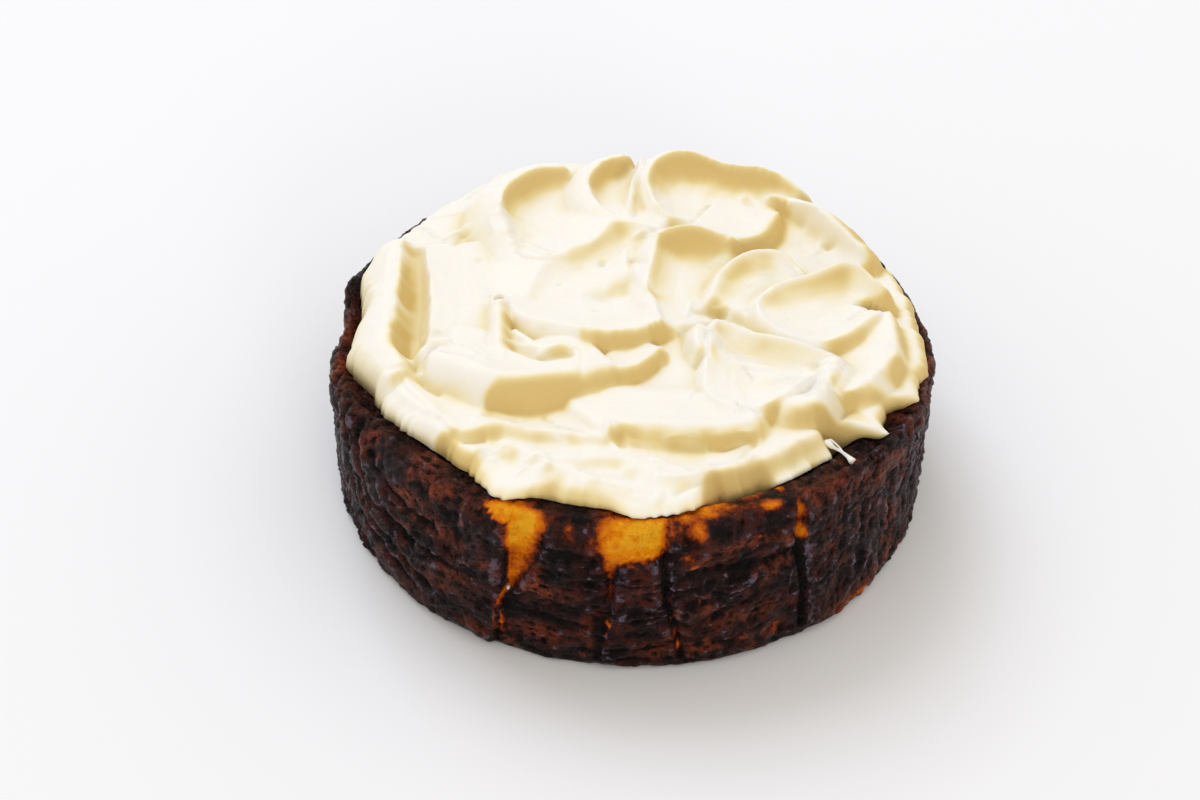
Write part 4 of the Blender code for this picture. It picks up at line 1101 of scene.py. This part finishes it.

# Whipped dairy cream: fat and fine air bubbles scatter the light just under the surface, so it is a soft
# satin white.
# Its colour is painted butter yellow as shade in the hollows and on faces turned from the window.
# Real bubbles are finer than a tenth of a millimetre; these are as coarse as they need to show
BUBBLE_SIZE = 1.3 * MM
CREAM_SHADE_YELLOWS = [(0.0, "#f2f0ea"), (0.25, "#eee5c6"), (0.6, "#e4d299"), (1.0, "#d9be7c")]
cream_material, tree = add_material("whipped_dairy_cream")
place = add_node(tree, "ShaderNodeTexCoord").outputs["Object"]
cream_shade = add_node(tree, "ShaderNodeAttribute", {"attribute_name": "cream_shade"}).outputs["Fac"]
cream_colour = add_node(tree, "ShaderNodeValToRGB", inputs={"Fac": cream_shade}, stops=CREAM_SHADE_YELLOWS).outputs["Color"]
foam = add_node(tree, "ShaderNodeTexNoise",
                inputs={"Vector": place, "Scale": 1 / BUBBLE_SIZE, "Detail": 4.0, "Roughness": 0.6})
bump = add_node(tree, "ShaderNodeBump",
                inputs={"Strength": 0.22, "Distance": 0.25 * MM, "Height": foam.outputs["Fac"]})
shader = add_node(tree, "ShaderNodeBsdfPrincipled",
                  inputs={"Base Color": cream_colour, "Roughness": 0.5, "IOR": 1.45,
                          "Specular IOR Level": 0.3, "Subsurface Weight": 0.3,
                          "Subsurface Scale": 2.0 * MM, "Subsurface Radius": (1.0, 0.75, 0.35),
                          "Normal": bump.outputs["Normal"]})
add_node(tree, "ShaderNodeOutputMaterial", inputs={"Surface": shader.outputs["BSDF"]})
cream.data.materials.append(cream_material)
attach(cream, "root")
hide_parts("whipped_cream")


# Smear of cream: a strand that the spatula pulled from the edge across the sunken rim, its
# drop-shaped end, and a pale bead of custard fat that dried in the left crack.
# Strands: x, y, height and radius of each point; bead: angle, height, radius
STRANDS = [
    [(60.6, -57.2, 60.3, 1.5), (62.4, -59.1, 59.7, 1.0), (64.1, -59.7, 58.9, 0.6), (66.0, -60.8, 58.5, 0.55),
     (67.8, -63.0, 58.5, 0.8), (69.0, -65.2, 58.7, 1.3), (69.6, -66.3, 58.8, 1.1)],
    [(62.0, -56.0, 59.6, 0.7), (64.6, -57.6, 58.6, 0.35), (66.2, -60.6, 58.4, 0.4)],
]
STRAND_SIDES = 14
BEAD = (247.3, 26.2, 1.25)


def add_tube(points, faces, way):
    """Round strand along the way, its fourth value the radius, with domed ends."""
    centres = smooth_way(way, 8)
    reach = np.cumsum(np.concatenate([[0.0], np.linalg.norm(np.diff(centres[:, :3], axis=0), axis=1)]))
    ahead = np.gradient(centres[:, :3], axis=0)
    ahead = ahead / np.linalg.norm(ahead, axis=1)[:, None]
    side = np.cross(ahead, (0.0, 0.0, 1.0))
    side = side / np.linalg.norm(side, axis=1)[:, None]
    rise = np.cross(side, ahead)
    first = len(points)
    turn = np.linspace(0.0, 2.0 * np.pi, STRAND_SIDES, endpoint=False)
    for i, centre in enumerate(centres):
        to_end = min(reach[i], reach[-1] - reach[i]) / centre[3]
        radius = centre[3] * max(0.12, min(1.0, to_end * (2.0 - to_end) if to_end < 1.0 else 1.0))
        for bend in turn:
            points.append(centre[:3] + radius * (np.cos(bend) * side[i] + 0.8 * np.sin(bend) * rise[i]))
    for i in range(len(centres) - 1):
        low = first + i * STRAND_SIDES
        high = low + STRAND_SIDES
        for corner in range(STRAND_SIDES):
            following = (corner + 1) % STRAND_SIDES
            faces.append((low + corner, low + following, high + following, high + corner))
    last = first + (len(centres) - 1) * STRAND_SIDES
    faces.append(tuple(first + corner for corner in reversed(range(STRAND_SIDES))))
    faces.append(tuple(last + corner for corner in range(STRAND_SIDES)))


smear_points = []
smear_faces = []
for way in STRANDS:
    add_tube(smear_points, smear_faces, way)
bead_angle = np.radians(BEAD[0:1])
bead_level = np.array(BEAD[1:2])
bead_out = WALL_RADIUS + wall_relief(bead_angle, bead_level) + wrinkles(bead_angle, bead_level)
bead_x = float(bead_out[0] * np.cos(bead_angle[0]))
bead_y = float(bead_out[0] * np.sin(bead_angle[0]))
bead_half = 0.5 * BEAD[2]
add_tube(smear_points, smear_faces, [(bead_x - bead_half, bead_y, BEAD[1] + 0.3, BEAD[2] * 0.8),
                                     (bead_x, bead_y - 0.2, BEAD[1], BEAD[2]),
                                     (bead_x + bead_half, bead_y, BEAD[1] - 0.4, BEAD[2] * 0.7)])
smear = add_object("cream_smear", np.array(smear_points), smear_faces)
smear.data.materials.append(cream_material)
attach(smear, "root")
